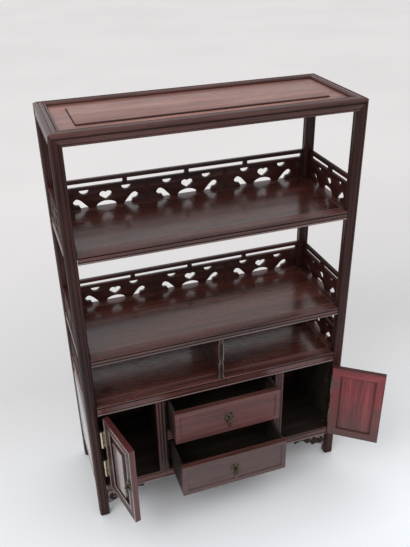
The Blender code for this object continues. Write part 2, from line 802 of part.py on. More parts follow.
def drawer(name, runway, out, root, wood, bronze):
    slide = empty(f"{name}_slide", (0.0, -out, 0.0), root)
    low = runway + SLIDE_GAP
    high = runway + DRAWER_OPENING - DRAWER_HEADROOM
    half = DRAWER_WIDTH / 2
    outline = rectangle(-half, low, half, high)
    profile = ((0.0, DRAWER_FRONT), (0.0, DOOR_EDGE), (DOOR_EDGE, 0.0), (DRAWER_BORDER, 0.0))
    profile += ((DRAWER_BORDER + DRAWER_SINK, DRAWER_SINK),)
    front = loft([along_y(inset(outline, edge), FRONT_Y + depth) for edge, depth in profile])
    place(f"{name}_front", front, wood, slide)

    near = FRONT_Y + DRAWER_FRONT + FIT
    far = FRONT_Y + DRAWER_LENGTH
    wall_top = high - DRAWER_WALL_DROP
    inside = half - DRAWER_WALL
    place(f"{name}_left_side", box(-half, near, low, -inside, far, wall_top), wood, slide)
    place(f"{name}_right_side", box(inside, near, low, half, far, wall_top), wood, slide)
    floor = low + DRAWER_FLOOR_RISE
    reach = inside - FIT
    back = far - DRAWER_WALL
    place(f"{name}_back", box(-reach, back, low, reach, far, wall_top), wood, slide)
    place(f"{name}_bottom", box(-reach, near, floor, reach, back - FIT, floor + DRAWER_FLOOR), wood, slide)
    middle = (low + high) / 2
    pull(name, slide, (0.0, FRONT_Y + DRAWER_SINK, middle), bronze)


def stand_on_origin(root):
    """Move the root so that the box round the opened shelf stands centred on the origin."""
    bpy.context.view_layer.update()
    corners = []
    for piece in bpy.data.objects:
        if piece.type != "EMPTY":
            corners += [piece.matrix_world @ Vector(corner) for corner in piece.bound_box]
    for axis in (0, 1):
        values = [corner[axis] for corner in corners]
        root.location[axis] = -(min(values) + max(values)) / 2
    bpy.context.view_layer.update()


def build():
    clear_scene()
    wood = material("rosewood", (0.055, 0.020, 0.014), 0.25, 0.0)
    brass = material("brass", (0.62, 0.50, 0.26), 0.35, 1.0)
    bronze = material("dark_brass", (0.16, 0.12, 0.07), 0.40, 1.0)
    root = empty("display_shelf", (0.0, 0.0, 0.0))
    posts(root, wood)
    top(root, wood)
    shelf("upper_shelf", UPPER_BOTTOM, root, wood)
    shelf("middle_shelf", MIDDLE_BOTTOM, root, wood)
    cabinet_boards(root, wood)
    galleries(root, wood)
    niche_divider(root, wood)
    partitions(root, wood)
    drawer_divider(root, wood)
    cabinet_panels(root, wood)
    brackets(root, wood)
    door("left_door", -1, LEFT_DOOR_OPEN, root, wood, brass, bronze)
    door("right_door", 1, RIGHT_DOOR_OPEN, root, wood, brass, bronze)
    drawer("upper_drawer", UPPER_RUNWAY, UPPER_DRAWER_OUT, root, wood, bronze)
    drawer("lower_drawer", FLOOR_TOP, LOWER_DRAWER_OUT, root, wood, bronze)
    stand_on_origin(root)


build()
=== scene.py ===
"""Looks of the display shelf: fine mouldings, carving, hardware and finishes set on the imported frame.

Each visible piece stands for one node of the frame and rides on that node's body. Lengths are in
metres. Pieces of the carcass are drawn round its own middle, with X to the right, Y to the back and
the feet on Z = 0. A door is drawn shut round its hinge axis, and a drawer is drawn shut.
"""

import json
import math

import bmesh
import bpy
from mathutils import Matrix, Vector


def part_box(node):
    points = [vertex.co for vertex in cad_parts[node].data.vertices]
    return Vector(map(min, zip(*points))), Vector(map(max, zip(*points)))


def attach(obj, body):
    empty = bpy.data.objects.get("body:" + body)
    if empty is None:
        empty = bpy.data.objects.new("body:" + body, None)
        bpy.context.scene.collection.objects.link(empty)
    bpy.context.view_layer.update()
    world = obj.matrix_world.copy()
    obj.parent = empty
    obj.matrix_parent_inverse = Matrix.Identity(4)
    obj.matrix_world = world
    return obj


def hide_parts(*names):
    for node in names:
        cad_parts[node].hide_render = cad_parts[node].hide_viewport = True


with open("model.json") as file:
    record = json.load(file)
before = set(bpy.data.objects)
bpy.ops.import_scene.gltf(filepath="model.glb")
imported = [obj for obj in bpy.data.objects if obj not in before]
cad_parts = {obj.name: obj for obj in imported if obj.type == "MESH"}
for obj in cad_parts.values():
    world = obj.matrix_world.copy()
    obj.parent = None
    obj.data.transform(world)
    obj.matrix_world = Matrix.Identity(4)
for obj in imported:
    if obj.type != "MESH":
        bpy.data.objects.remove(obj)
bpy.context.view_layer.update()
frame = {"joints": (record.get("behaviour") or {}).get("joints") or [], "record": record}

# Carcass, measured on the frame
FIT = 0.0003  # gap between neighbouring pieces
POST_LOW, POST_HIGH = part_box("post_front_left")
FAR_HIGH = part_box("post_back_right")[1]
POST = POST_HIGH.x - POST_LOW.x
CENTRE = Vector(((POST_LOW.x + FAR_HIGH.x) / 2, (POST_LOW.y + FAR_HIGH.y) / 2, 0.0))
HALF_W = FAR_HIGH.x - CENTRE.x
HALF_D = FAR_HIGH.y - CENTRE.y
INNER_X = HALF_W - POST
INNER_Y = HALF_D - POST
FRONT_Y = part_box("cabinet_floor")[0].y - CENTRE.y
FACE_X = HALF_W - (HALF_D + FRONT_Y)  # rails lie as far behind the posts at the ends as in front
NEAR_X = INNER_X - FIT
NEAR_Y = INNER_Y - FIT
NOTCH = -FRONT_Y - NEAR_Y  # depth of a board's corner that the post takes away
FLOOR_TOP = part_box("cabinet_floor")[1].z
CABINET_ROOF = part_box("cabinet_top")[0].z
STILE_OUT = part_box("cabinet_partition_right")[1].x - CENTRE.x
TOP_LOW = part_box("top_frame")[0].z
TOP_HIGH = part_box("top_frame")[1].z
TOP = TOP_HIGH - TOP_LOW
SIDES = (("left", -1), ("right", 1))
UPRIGHT = Matrix.Rotation(math.radians(90), 4, "X")  # stands a board that is drawn flat on its edge

# Mouldings
POST_BEAD = 0.004
POST_GROOVE = 0.0012
POST_GROOVE_DEPTH = 0.0008
FOOT_ROUND = 0.0010
REEDS = 3
REED_RISE = 0.0010
RAIL_BEAD = 0.0026
RAIL_BEAD_RISE = 0.0012
RAIL_GROOVE = 0.0014
RAIL_GROOVE_DEPTH = 0.0024
RAIL_BAND_DEPTH = 0.0007
SHELF_LAP = 0.0025
SHELF_LEDGE = 0.003
SOFT_EDGE = 0.0004  # rubbed arris of a board

# Top
TOP_FRAME = 0.036
TOP_BEAD = 0.005  # round along the upper edge of the face
TOP_LOWER_BEAD = 0.0022
TOP_INNER_BEAD = 0.0026
TOP_GROOVE = 0.0024  # under the upper bead
TOP_GROOVE_DEPTH = 0.0018
TOP_LINE = 0.0014  # fine groove above the lower bead, and beside the beads of the rim
TOP_LINE_DEPTH = 0.0010
TOP_BAND = 0.0005  # the flat of the face lies this far behind the beads
TOP_CORNER = 0.004
TOP_CORNER_STEPS = (0.0, 0.0008, 0.0016, 0.0026, 0.0040, 0.0060)  # loops near a corner, from its mitre
TOP_RIM_STEP = 0.004
TOP_LEDGE = 0.003
TOP_FIELD_CORNER = 0.004
TOP_FIELD_BEVEL = 0.0014
TOP_FIELD_ANGLES = (30.0, 60.0, 90.0)  # loops round the field's rounded edge, in degrees

# Galleries: side, turn in degrees and number of modules of each board on a level
GALLERY_SIDES = (("back", 0, 3), ("left", 90, 1), ("right", -90, 1))
GALLERY_RAIL = 0.0056
GALLERY_SLOT = 0.0058
GALLERY_STRUT = 0.0065
GALLERY_END = 0.0055
GALLERY_ROUND = 0.0004
GALLERY_STRIP = 0.0075  # plain strip between two modules
GALLERY_STRIP_RISE = 0.0006
HEART_WIDTH = 0.0175
HEART_HEIGHT = 0.0126
HEART_MIDDLE = 0.0157
HEART_WAVES = (13, -5, -2, -1)  # waves that add up to a heart's outline
HEART_FILL = 3.5  # makes the notch between its lobes shallower
HEART_SHIFT = 0.8
HEART_SPAN = 25.4
ARCH_WIDTH = 0.029
ARCH_RISE = 0.0078
MOON_WIDTH = 0.0135
MOON_DROP = 0.0063
MOON_TOP = 0.0270
MOON_OFFSET = 0.0297
# The comma opening, from its tail on the shelf round its head and back, beside the module's middle
COMMA = (
    (0.0250, 0.0), (0.0300, 0.0060), (0.0365, 0.0128), (0.0420, 0.0148), (0.0463, 0.0105),
    (0.0435, 0.0060), (0.0385, 0.0048), (0.0360, 0.0),
)

# Niche divider: half widths of its carved edge at shares of its height
DIVIDER = 0.006
DIVIDER_EDGE = 0.009
DIVIDER_CARVING = (
    (0.0, 0.0052), (0.07, 0.0046), (0.16, 0.0034), (0.27, 0.0043), (0.36, 0.0040), (0.43, 0.0027),
    (0.50, 0.0040), (0.66, 0.0046), (0.84, 0.0043), (0.94, 0.0030), (1.0, 0.0044),
)
DIVIDER_LOBES = ((0.05, 0.38), (0.46, 0.97))  # shares of the height that each lobe takes
DIVIDER_SINK = 0.0020
# Section of the edge: shares of the half width, of the edge's depth and of the sunk middle's depth
DIVIDER_SECTION = (
    (1.0, 1.0, 0.0), (1.0, 0.35, 0.0), (0.92, 0.12, 0.0), (0.76, 0.0, 0.0), (0.58, 0.0, 0.3),
    (0.40, 0.0, 1.0),
)
DIVIDER_MIDDLE = 0.8  # share of that depth on the middle line
DIVIDER_SHADED = 2  # strips beside the middle line with painted shade
DIVIDER_HIGHLIGHTED = 5  # strips beside the middle line with painted shade or a painted highlight

# Cabinet
STILE = 0.0145
STILE_DEPTH = 0.012
STILE_FOOT = 0.014
STILE_REVEAL = 0.0045
PARTITION = 0.008
SIDE_BEVEL = 0.009
SIDE_SLOPE = 0.002
SIDE_RISE = 0.0035  # the field of an end panel lies almost flush with the posts

# Corner brackets: lower edge from the leg to the tip, as distance from the leg and drop below the rail
BRACKET_ROUND = 0.0008
BRACKET_BACK = 0.0020  # the ground between the carved lines lies this far behind the bracket's face
BRACKET_LINE = 0.0016  # radius of a carved line
BRACKET_LINE_RISE = BRACKET_LINE / 3  # its middle stands this far out of the ground
BRACKET_EDGE = (
    (0.0, 0.0185), (0.0050, 0.0188), (0.0085, 0.0168), (0.0120, 0.0158), (0.0155, 0.0145),
    (0.0200, 0.0158), (0.0245, 0.0142), (0.0275, 0.0108), (0.0320, 0.0112), (0.0365, 0.0080),
    (0.0410, 0.0040), (0.0450, 0.0030), (0.0500, 0.0044), (0.0560, 0.0054), (0.0610, 0.0030),
)
BRACKET_LENGTH = 0.064
BRACKET_STRETCH = 1.35  # the carved edge hangs this much lower than the plain one
# Carved scrolls: middle beside the leg and below the rail, radius, turns, and the angle they start at
BRACKET_SCROLLS = (
    (0.0092, 0.0100, 0.0062, 1.35, 100.0),
    (0.0205, 0.0092, 0.0062, 1.35, 80.0),
    (0.0320, 0.0062, 0.0046, 1.25, 80.0),
)
SCROLL_SHRINK = 0.68  # share of the radius that a scroll loses on its way in
# Eyes right through: middle beside the leg and below the rail, and half sizes
BRACKET_EYES = ((0.0088, 0.0100, 0.0028, 0.0040), (0.0202, 0.0096, 0.0034, 0.0036))
BRACKET_LEAF = ((0.0360, 0.0052), (0.0420, 0.0024), (0.0490, 0.0026), (0.0560, 0.0044))

# Doors
DOOR_THICK = 0.009
DOOR_GAP = 0.0012
DOOR_FRAME = 0.016
DOOR_BEAD_OUT = 0.0026  # round along the outer edge of the frame's face
DOOR_GROOVE = 0.0022
DOOR_BEAD_IN = 0.0036  # round along the opening
DOOR_BEAD_RISE = 0.0010
DOOR_DISH = 0.0019  # depth of the dished face at the inner round
DOOR_LIP = 0.0034
DOOR_REBATE = 0.003
DOOR_PANEL = 0.0036
DOOR_MARGIN = 0.0125  # from the panel's edge to its raised field
DOOR_FIELD_BACK = 0.0005  # the field lies this far behind the frame's face
DOOR_FIELD_BEVEL = 0.0016
DOOR_MARGIN_SINK = 0.0008
DOOR_REAR_EDGE = 0.0036  # slope round the panel's rear face
DOOR_REAR_SLOPE = 0.0022

# Butt hinges
HINGE_GAP = 0.0026
HINGE_LENGTH = 0.030
HINGE_INSET = 0.025
KNUCKLE = 0.0019
HINGE_PIN = 0.0008
LEAF = 0.0008
LEAF_WIDTH = 0.012
LEAF_SOFT = LEAF / 6
KNUCKLE_SOFT = LEAF / 4
SCREW = 0.0016  # radius of a screw head
SCREW_RISE = 0.00015
SCREW_SLOT = 0.0004
SCREW_ARC = 84  # half of the arc on each side of the slot, in degrees
SCREW_SPOTS = (-0.7, 0.0, 0.7)  # shares of the leaf's half length

# Drawers
DRAWER_FRONT = 0.008
DRAWER_BORDER = 0.007
DRAWER_SINK = 0.0015
DRAWER_EDGE = 0.0006

# Drop pulls
PLATE = 0.0076
PLATE_THICK = 0.0016
# Rosette from its rim to its middle: shares of the radius and of the thickness
PLATE_PROFILE = (
    (1.0, 0.0), (1.0, 0.3), (0.95, 0.5), (0.80, 0.72), (0.62, 0.80), (0.52, 0.72), (0.46, 0.84),
    (0.30, 1.0),
)
PLATE_PETALS = 8
PLATE_PETAL_DEPTH = 0.0010
PLATE_HOLLOW = 0.45  # share of the thickness that is cut away between two petals
EYE = 0.0023
EYE_WIRE = 0.0008
EYE_SINK = 0.0005
DROP_RING = 0.0022
DROP_WIRE = 0.0007
DROP_HANG = 0.0003
# Pendant sections: distance below the pivot, half width and half thickness
PENDANT = (
    (0.0038, 0.0007, 0.0007), (0.0060, 0.0011, 0.0009), (0.0080, 0.0024, 0.0011),
    (0.0106, 0.0034, 0.0012), (0.0132, 0.0027, 0.0011), (0.0152, 0.0011, 0.0008),
    (0.0166, 0.0003, 0.0003),
)
PULL_INSET = 0.008

# Facets
BEAD_STEPS = 10
GROOVE_STEPS = 5
CORNER_STEPS = 8
CURVE_STEPS = 8
HEART_STEPS = 48
MOON_STEPS = 18
ROUND_STEPS = 28
SCREW_STEPS = 14
WIRE_STEPS = 12
PLATE_STEPS = 96
SPIRAL_STEPS = 28
SAWN_STEPS = 2  # on the rounded edges of sawn boards
WELD = 1e-6  # points this close are one
SHARP = math.radians(38)  # edges that turn more than this stay crisp

# View, from the carcass's middle on the floor
CAMERA_AT = Vector((-0.2585, -0.7816, 0.8221))
CAMERA_AIM = Vector((0.0021, 0.0, 0.3507))
CAMERA_ROLL = math.radians(1.183)
CAMERA_LENS = 42.95
CAMERA_SENSOR = 36.0
CAMERA_NEAR = 0.01

# Floor: size, gloss, soft clouds, and colour over its depth from front to back, which paints light just in
# front of the carcass and a darker, warmer shadow behind it, and darkens far in front
FLOOR_REACH = 30.0
FLOOR_ROUGHNESS = 0.9
FLOOR_SHINE = 0.2
FLOOR_CLOUDS = (1.5, 2.0)
FLOOR_CLOUD_STOPS = ((0.3, 0.95), (0.7, 1.0))
FLOOR_DEPTH = (-1.6, 1.2)
FLOOR_PAINTED_LIGHT = (
    (0.0, (0.50, 0.52, 0.54)),
    (0.42, (0.84, 0.875, 0.91)),
    (0.50, (0.93, 0.955, 0.98)),
    (0.56, (0.79, 0.800, 0.81)),
    (0.68, (0.65, 0.638, 0.630)),
    (1.0, (0.752, 0.730, 0.716)),
)
# Sky: its tint, and the strength of its dim and its bright side, as light and as it is seen
SKY_TINT = (0.98, 0.985, 1.0)
BRIGHT_SIDE = Vector((-0.30, 0.20, 0.93)).normalized()
SKY_SPAN = (-0.6, 0.8)
SKY_LIGHT = (0.46, 1.16)
SKY_SEEN = (0.36, 0.96)
# Name, place round the carcass's middle, power in watts, width and colour of each lamp
LAMPS = (
    ("window", (-1.5, -1.1, 1.8), 14.0, 1.2, (0.94, 0.97, 1.0)),
    ("room", (1.0, -1.6, 1.7), 2.5, 1.6, (1.0, 0.97, 0.94)),
)
LAMP_AIM = Vector((0.0, 0.0, 0.3))

# Dark, middle and light tone of each wood
POST_TONES = ((0.016, 0.0055, 0.0045), (0.042, 0.014, 0.0112), (0.080, 0.0265, 0.021))
FRAME_TONES = ((0.016, 0.0042, 0.0033), (0.046, 0.011, 0.0082), (0.088, 0.021, 0.0158))
RAIL_TONES = ((0.048, 0.0175, 0.0145), (0.108, 0.040, 0.033), (0.176, 0.069, 0.058))
PANEL_TONES = ((0.042, 0.012, 0.0082), (0.078, 0.022, 0.0152), (0.118, 0.034, 0.0236))
DRAWER_TONES = ((0.078, 0.0235, 0.0205), (0.112, 0.034, 0.030), (0.150, 0.049, 0.0435))
REFLECTING_FRONT_TONES = ((0.064, 0.038, 0.0355), (0.093, 0.050, 0.0465), (0.125, 0.065, 0.0605))
TOP_LIT_TONES = ((0.176, 0.067, 0.050), (0.275, 0.109, 0.083), (0.374, 0.160, 0.126))
RIM_TONES = ((0.044, 0.0155, 0.0122), (0.088, 0.033, 0.0265), (0.140, 0.057, 0.047))
INSIDE_TONES = ((0.125, 0.0265, 0.029), (0.225, 0.044, 0.049), (0.330, 0.066, 0.072))
# Painted shade: wood darkened to near black for insides, grooves and carving that lie in shade
SHADE_TONES = ((0.016, 0.011, 0.0092), (0.032, 0.0225, 0.0184), (0.058, 0.039, 0.032))
DOOR_SHEEN_TONES = ((0.105, 0.052, 0.047), (0.170, 0.090, 0.083), (0.235, 0.135, 0.126))
EDGE_TONES = ((0.046, 0.011, 0.010), (0.080, 0.0185, 0.017), (0.126, 0.030, 0.027))
PAINTED_HIGHLIGHT_TONES = ((0.085, 0.040, 0.034), (0.165, 0.090, 0.078), (0.260, 0.160, 0.143))
# Colour of rubbed edges: of polished wood, of bare wood inside and of the beads with a painted highlight
WORN_WOOD = (0.16, 0.085, 0.070)
WORN_INSIDE = (0.30, 0.11, 0.10)
WORN_HIGHLIGHT = (0.36, 0.25, 0.22)
# Dark, middle and light tone of each metal, and its colour where it is rubbed
BRASS_TONES = ((0.30, 0.26, 0.16), (0.56, 0.50, 0.34), (0.72, 0.66, 0.48), (0.86, 0.80, 0.62))
SHADED_OLD_TONES = ((0.05, 0.052, 0.036), (0.12, 0.122, 0.085), (0.22, 0.215, 0.150), (0.46, 0.43, 0.31))
BRONZE_TONES = ((0.03, 0.025, 0.017), (0.085, 0.070, 0.046), (0.20, 0.17, 0.115), (0.62, 0.55, 0.41))

# Figure of the wood: scale along and across the grain, detail and warp, and the places of its tones
FIGURE = (3.5, 60.0, 5.0, 0.9)
FIGURE_PLACES = (0.32, 0.52, 0.72)
# Fine lines and pores in it: the same four values, stops of grey, and how strongly they darken it
STREAKS = (
    ((9.0, 620.0, 3.0, 0.2), ((0.30, 0.40), (0.56, 1.0)), 0.8),
    ((70.0, 1900.0, 1.0, 0.0), ((0.33, 0.35), (0.42, 1.0)), 0.6),
)
STREAK_ROUGHNESS = 0.6
GRAIN_RELIEF = (0.25, 0.0002)
SMEARS = 22.0  # scale of the patches that are more and less glossy
NOISE_SPAN = (0.3, 0.7)  # most of a noise lies between these
NOISE_DETAIL = 3.0
NOISE_ROUGHNESS = 0.55
FIGURE_SHIFT = (7.0, 3.0, 5.0)
COAT_ROUGHNESS = 0.08
# Dull grey film on bare wood, in patches and towards the foot
STAIN = (0.075, 0.052, 0.046)
STAIN_PATCHES = 34.0
STAIN_PLACES = (0.44, 0.66)
STAIN_HEIGHTS = (0.150, 0.070)
STAIN_AT_FOOT = 0.75
# Rubbed edges: width on wood and metal, and how the wear is spread
WOOD_WEAR = 0.0007
METAL_WEAR = 0.0004
WEAR_STOPS = ((0.86, 1.0), (0.985, 0.0))
WEAR_PATCHES = 45.0
WEAR_PATCH_STOPS = ((0.38, 0.15), (0.62, 1.0))
WEAR_SAMPLES = 4
# Grooves and corners: how far they reach, how dark their painted shade is and how dull they are
HOLLOW_REACH = 0.003
HOLLOW_STOPS = ((0.35, 0.0), (0.85, 1.0))
HOLLOW_SAMPLES = 6
HOLLOW_SHADE_LEVEL = 0.12
HOLLOW_DULL = 0.4
# Clouds and pits of cast metal: scale, detail, roughness and warp
CLOUDS = (260.0, 4.0, 0.6, 0.5)
CLOUD_PLACES = (0.34, 0.50, 0.68)
PITS = (1400.0, 2.0)
PIT_RELIEF = (0.2, 0.0001)


# Finishes


def node(tree, kind, sockets=None, **settings):
    """A shader node with its settings, and with values or other nodes' outputs on its sockets."""
    made = tree.nodes.new(kind)
    for key, value in settings.items():
        setattr(made, key, value)
    for socket, value in (sockets or {}).items():
        if isinstance(value, bpy.types.NodeSocket):
            tree.links.new(value, made.inputs[socket])
        else:
            made.inputs[socket].default_value = value
    return made


def opaque(colour):
    """A colour, or a grey that is given by its level, with full alpha."""
    return (*colour, 1.0) if isinstance(colour, tuple) else (colour, colour, colour, 1.0)


def ramp(tree, value, stops):
    """The colour or grey of a value between stops of place and colour."""
    made = node(tree, "ShaderNodeValToRGB", {"Fac": value})
    elements = made.color_ramp.elements
    while len(elements) < len(stops):
        elements.new(0.5)
    for element, (place, colour) in zip(elements, stops):
        element.position = place
        element.color = opaque(colour)
    return made.outputs["Color"]


def mixed(tree, blend, share, first, second):
    pair = [c if isinstance(c, bpy.types.NodeSocket) else opaque(c) for c in (first, second)]
    sockets = {0: share, 6: pair[0], 7: pair[1]}
    return node(tree, "ShaderNodeMix", sockets, data_type="RGBA", blend_type=blend).outputs[2]


def between(tree, value, span, reach=(0.0, 1.0)):
    """A value that runs over the reach while the given one runs over the span."""
    sockets = {"Value": value, "From Min": span[0], "From Max": span[1]}
    sockets.update({"To Min": reach[0], "To Max": reach[1]})
    return node(tree, "ShaderNodeMapRange", sockets).outputs[0]


def own_place(tree):
    """Coordinates on the piece itself, shifted so that no two pieces show the same figure."""
    where = node(tree, "ShaderNodeTexCoord").outputs["Object"]
    chance = node(tree, "ShaderNodeObjectInfo").outputs["Random"]
    shift = node(tree, "ShaderNodeVectorMath", {0: chance, 1: FIGURE_SHIFT}, operation="MULTIPLY")
    return node(tree, "ShaderNodeVectorMath", {0: where, 1: shift.outputs[0]}).outputs[0]


def noise(tree, place, scale, detail=NOISE_DETAIL, roughness=NOISE_ROUGHNESS, warp=0.0):
    """Cloudy noise, with one scale or a list of one for each axis."""
    scales = scale if isinstance(scale, list) else [scale] * 3
    mapped = node(tree, "ShaderNodeMapping", {"Vector": place, "Scale": scales})
    sockets = {"Vector": mapped.outputs[0], "Scale": 1.0, "Detail": detail}
    sockets.update({"Roughness": roughness, "Distortion": warp})
    return node(tree, "ShaderNodeTexNoise", sockets).outputs["Fac"]


def edge_wear(tree, place, width):
    """How far hands have rubbed a spot: high along arrises, in patches."""
    rounded = node(tree, "ShaderNodeBevel", {"Radius": width}, samples=WEAR_SAMPLES)
    normal = node(tree, "ShaderNodeNewGeometry").outputs["Normal"]
    sockets = {0: rounded.outputs[0], 1: normal}
    along = node(tree, "ShaderNodeVectorMath", sockets, operation="DOT_PRODUCT").outputs["Value"]
    edges = ramp(tree, along, WEAR_STOPS)
    patches = ramp(tree, noise(tree, place, WEAR_PATCHES), WEAR_PATCH_STOPS)
    return mixed(tree, "MULTIPLY", 1.0, edges, patches)


def hollows(tree):
    """How open a spot is: low in grooves and corners, where shade is painted and where polish and dirt dull
    the gloss.
    """
    sockets = {"Distance": HOLLOW_REACH}
    made = node(tree, "ShaderNodeAmbientOcclusion", sockets, samples=HOLLOW_SAMPLES, only_local=True)
    return ramp(tree, made.outputs["AO"], HOLLOW_STOPS)


def film(tree, place, level):
    """How much of the grey film lies on a spot: up to a level in patches, and more towards the foot."""
    stops = tuple(zip(STAIN_PLACES, (0.0, level)))
    patches = ramp(tree, noise(tree, place, STAIN_PATCHES), stops)
    spot = node(tree, "ShaderNodeTexCoord").outputs["Object"]
    height = node(tree, "ShaderNodeSeparateXYZ", {0: spot}).outputs["Z"]
    damp = between(tree, height, STAIN_HEIGHTS, (0.0, STAIN_AT_FOOT))
    return node(tree, "ShaderNodeMath", {0: patches, 1: damp}, operation="MAXIMUM").outputs[0]


def surface(name, metallic=0.0):
    made = bpy.data.materials.new(name)
    made.use_nodes = True
    shader = made.node_tree.nodes["Principled BSDF"]
    shader.inputs["Metallic"].default_value = metallic
    return made, made.node_tree, shader


def dress(tree, shader, colour, rough, relief, strength, distance):
    """Give a surface its colour, its roughness and a fine relief."""
    bump = node(tree, "ShaderNodeBump", {"Height": relief, "Strength": strength, "Distance": distance})
    for output, socket in ((colour, "Base Color"), (rough, "Roughness"), (bump.outputs[0], "Normal")):
        tree.links.new(output, shader.inputs[socket])


def rosewood(name, grain, tones, gloss, shine, wear, worn=WORN_WOOD, stain=0.0, coat=0.0):
    """Dark hardwood with its grain along one axis: figure, streaks, pores, rubbed edges and painted shade in
    its hollows.
    """
    made, tree, shader = surface(name)
    place = own_place(tree)

    def streaks(along, across, detail, warp):
        scale = [across, across, across]
        scale["XYZ".index(grain)] = along
        return noise(tree, place, scale, detail, STREAK_ROUGHNESS, warp)

    colour = ramp(tree, streaks(*FIGURE), tuple(zip(FIGURE_PLACES, tones)))
    marks = []
    for look, stops, share in STREAKS:
        marks.append(ramp(tree, streaks(*look), stops))
        colour = mixed(tree, "MULTIPLY", share, colour, marks[-1])
    if stain:
        colour = mixed(tree, "MIX", film(tree, place, stain), colour, STAIN)
    rubbed = mixed(tree, "MULTIPLY", 1.0, edge_wear(tree, place, WOOD_WEAR), wear)
    colour = mixed(tree, "MIX", rubbed, colour, worn)
    open_spot = hollows(tree)
    # painted shade: the colour darkens where a spot is closed in, in grooves and corners
    colour = mixed(tree, "MULTIPLY", 1.0, colour, mixed(tree, "MIX", open_spot, HOLLOW_SHADE_LEVEL, 1.0))

    rough = between(tree, noise(tree, place, SMEARS), NOISE_SPAN, gloss)
    dull = between(tree, open_spot, (1.0, 0.0), (0.0, HOLLOW_DULL))
    rough = node(tree, "ShaderNodeMath", {0: rough, 1: dull}, operation="ADD").outputs[0]
    dress(tree, shader, colour, rough, mixed(tree, "MULTIPLY", 1.0, *marks), *GRAIN_RELIEF)
    shader.inputs["Specular IOR Level"].default_value = shine
    shader.inputs["Coat Weight"].default_value = coat
    shader.inputs["Coat Roughness"].default_value = COAT_ROUGHNESS
    return made


def turned(name, axes, *look, **more):
    """One wood with its grain along each of some axes."""
    return {axis: rosewood(f"{name}_{axis.lower()}", axis, *look, **more) for axis in axes}


def metal(name, tones, gloss):
    """Cast brass: cloudy colour and gloss, fine pits, and brighter where it is rubbed."""
    made, tree, shader = surface(name, 1.0)
    place = own_place(tree)
    clouds = noise(tree, place, *CLOUDS)
    colour = ramp(tree, clouds, tuple(zip(CLOUD_PLACES, tones)))
    colour = mixed(tree, "MIX", edge_wear(tree, place, METAL_WEAR), colour, tones[-1])
    rough = between(tree, clouds, NOISE_SPAN, gloss)
    dress(tree, shader, colour, rough, noise(tree, place, *PITS), *PIT_RELIEF)
    return made


# Each wood with its grain, tones, range of roughness, shine and share of wear
FRAME = turned("framing", "XZ", FRAME_TONES, (0.24, 0.40), 0.42, 0.5)
RAIL = turned("rail", "XY", RAIL_TONES, (0.22, 0.36), 0.46, 0.5)
DRAWER = turned("drawer", "XZ", DRAWER_TONES, (0.30, 0.42), 0.40, 0.5)
RIM = turned("top_rim", "XY", RIM_TONES, (0.24, 0.38), 0.34, 0.5)
# Painted highlight: a paler wood for beads and rims in place of the gleam they catch, and painted light on
# grounds in shade
PAINTED_HIGHLIGHT = turned("rubbed", "XZ", PAINTED_HIGHLIGHT_TONES, (0.16, 0.26), 0.80, 0.7, WORN_HIGHLIGHT, coat=0.8)
BARE_X = rosewood("inside_x", "X", INSIDE_TONES, (0.45, 0.62), 0.30, 0.7, WORN_INSIDE, stain=0.05)
BARE_Z = rosewood("inside_z", "Z", INSIDE_TONES, (0.45, 0.62), 0.30, 0.7, WORN_INSIDE, stain=0.85)
POST_WOOD = rosewood("post", "Z", POST_TONES, (0.24, 0.38), 0.20, 0.4)
PANEL = rosewood("shelf_field", "X", PANEL_TONES, (0.10, 0.20), 0.72, 0.5)
# Painted light: the top's wood is much lighter than the rest, for the light that falls on it from above
TOP_LIT_BORDER = rosewood("top_border_lit", "X", TOP_LIT_TONES, (0.26, 0.40), 0.50, 0.4)
TOP_LIT_FIELD = rosewood("top_field_lit", "X", TOP_LIT_TONES, (0.24, 0.38), 0.45, 0.4)
END_WOOD = rosewood("end_gallery", "X", FRAME_TONES, (0.46, 0.60), 0.15, 0.3)
SIDE_WOOD = rosewood("cabinet_end", "Z", FRAME_TONES, (0.06, 0.12), 0.60, 0.4, coat=0.8)
# Painted sheen: a field much paler than the framing, in place of the glare on its glossy face
DOOR_SHEEN_WOOD = rosewood("door_field_sheen", "Z", DOOR_SHEEN_TONES, (0.10, 0.16), 0.90, 0.3, coat=1.0)
EDGE_WOOD = rosewood("door_edge", "X", EDGE_TONES, (0.42, 0.58), 0.25, 0.6)
# Painted reflection: the lower drawer's front is greyer than the upper's, for the pale floor it mirrors
REFLECTING_FRONT = rosewood("front_painted_reflection", "X", REFLECTING_FRONT_TONES, (0.30, 0.42), 0.40, 0.5)
# painted shade for the insides of cupboards and drawers, for grooves and for sunk carving
SHADE = rosewood("painted_shade_wood", "X", SHADE_TONES, (0.42, 0.58), 0.20, 0.1)
BRASS = metal("brass", BRASS_TONES, (0.28, 0.46))
# Darker, duller brass for the right door's hinges: partly tarnish, partly painted shade where they lie in
# shade
SHADED_OLD_BRASS = metal("old_brass_shaded", SHADED_OLD_TONES, (0.36, 0.52))
BRONZE = metal("dark_brass", BRONZE_TONES, (0.24, 0.42))
# A door frame's framing along X and Z, beads with a painted highlight, grooves with painted shade, bare rear
# along X and Z, and edges
DOOR_FINISHES = (FRAME["X"], FRAME["Z"], PAINTED_HIGHLIGHT["Z"], SHADE, BARE_X, BARE_Z, EDGE_WOOD, DRAWER["Z"])


# Profiles and outlines


def bulge(start, end, rise, steps=BEAD_STEPS):
    """Points from start to just before end along a half round that swells to the left by rise."""
    start = Vector(start)
    along = Vector(end) - start
    left = Vector((-along.y, along.x)).normalized()
    angles = [math.pi * step / steps for step in range(steps)]
    return [start + along * (1 - math.cos(a)) / 2 + left * rise * math.sin(a) for a in angles]


def reeded(start, end, count, rise):
    start = Vector(start)
    pitch = (Vector(end) - start) / count
    points = []
    for number in range(count):
        points += bulge(start + pitch * number, start + pitch * (number + 1), rise)
    return points


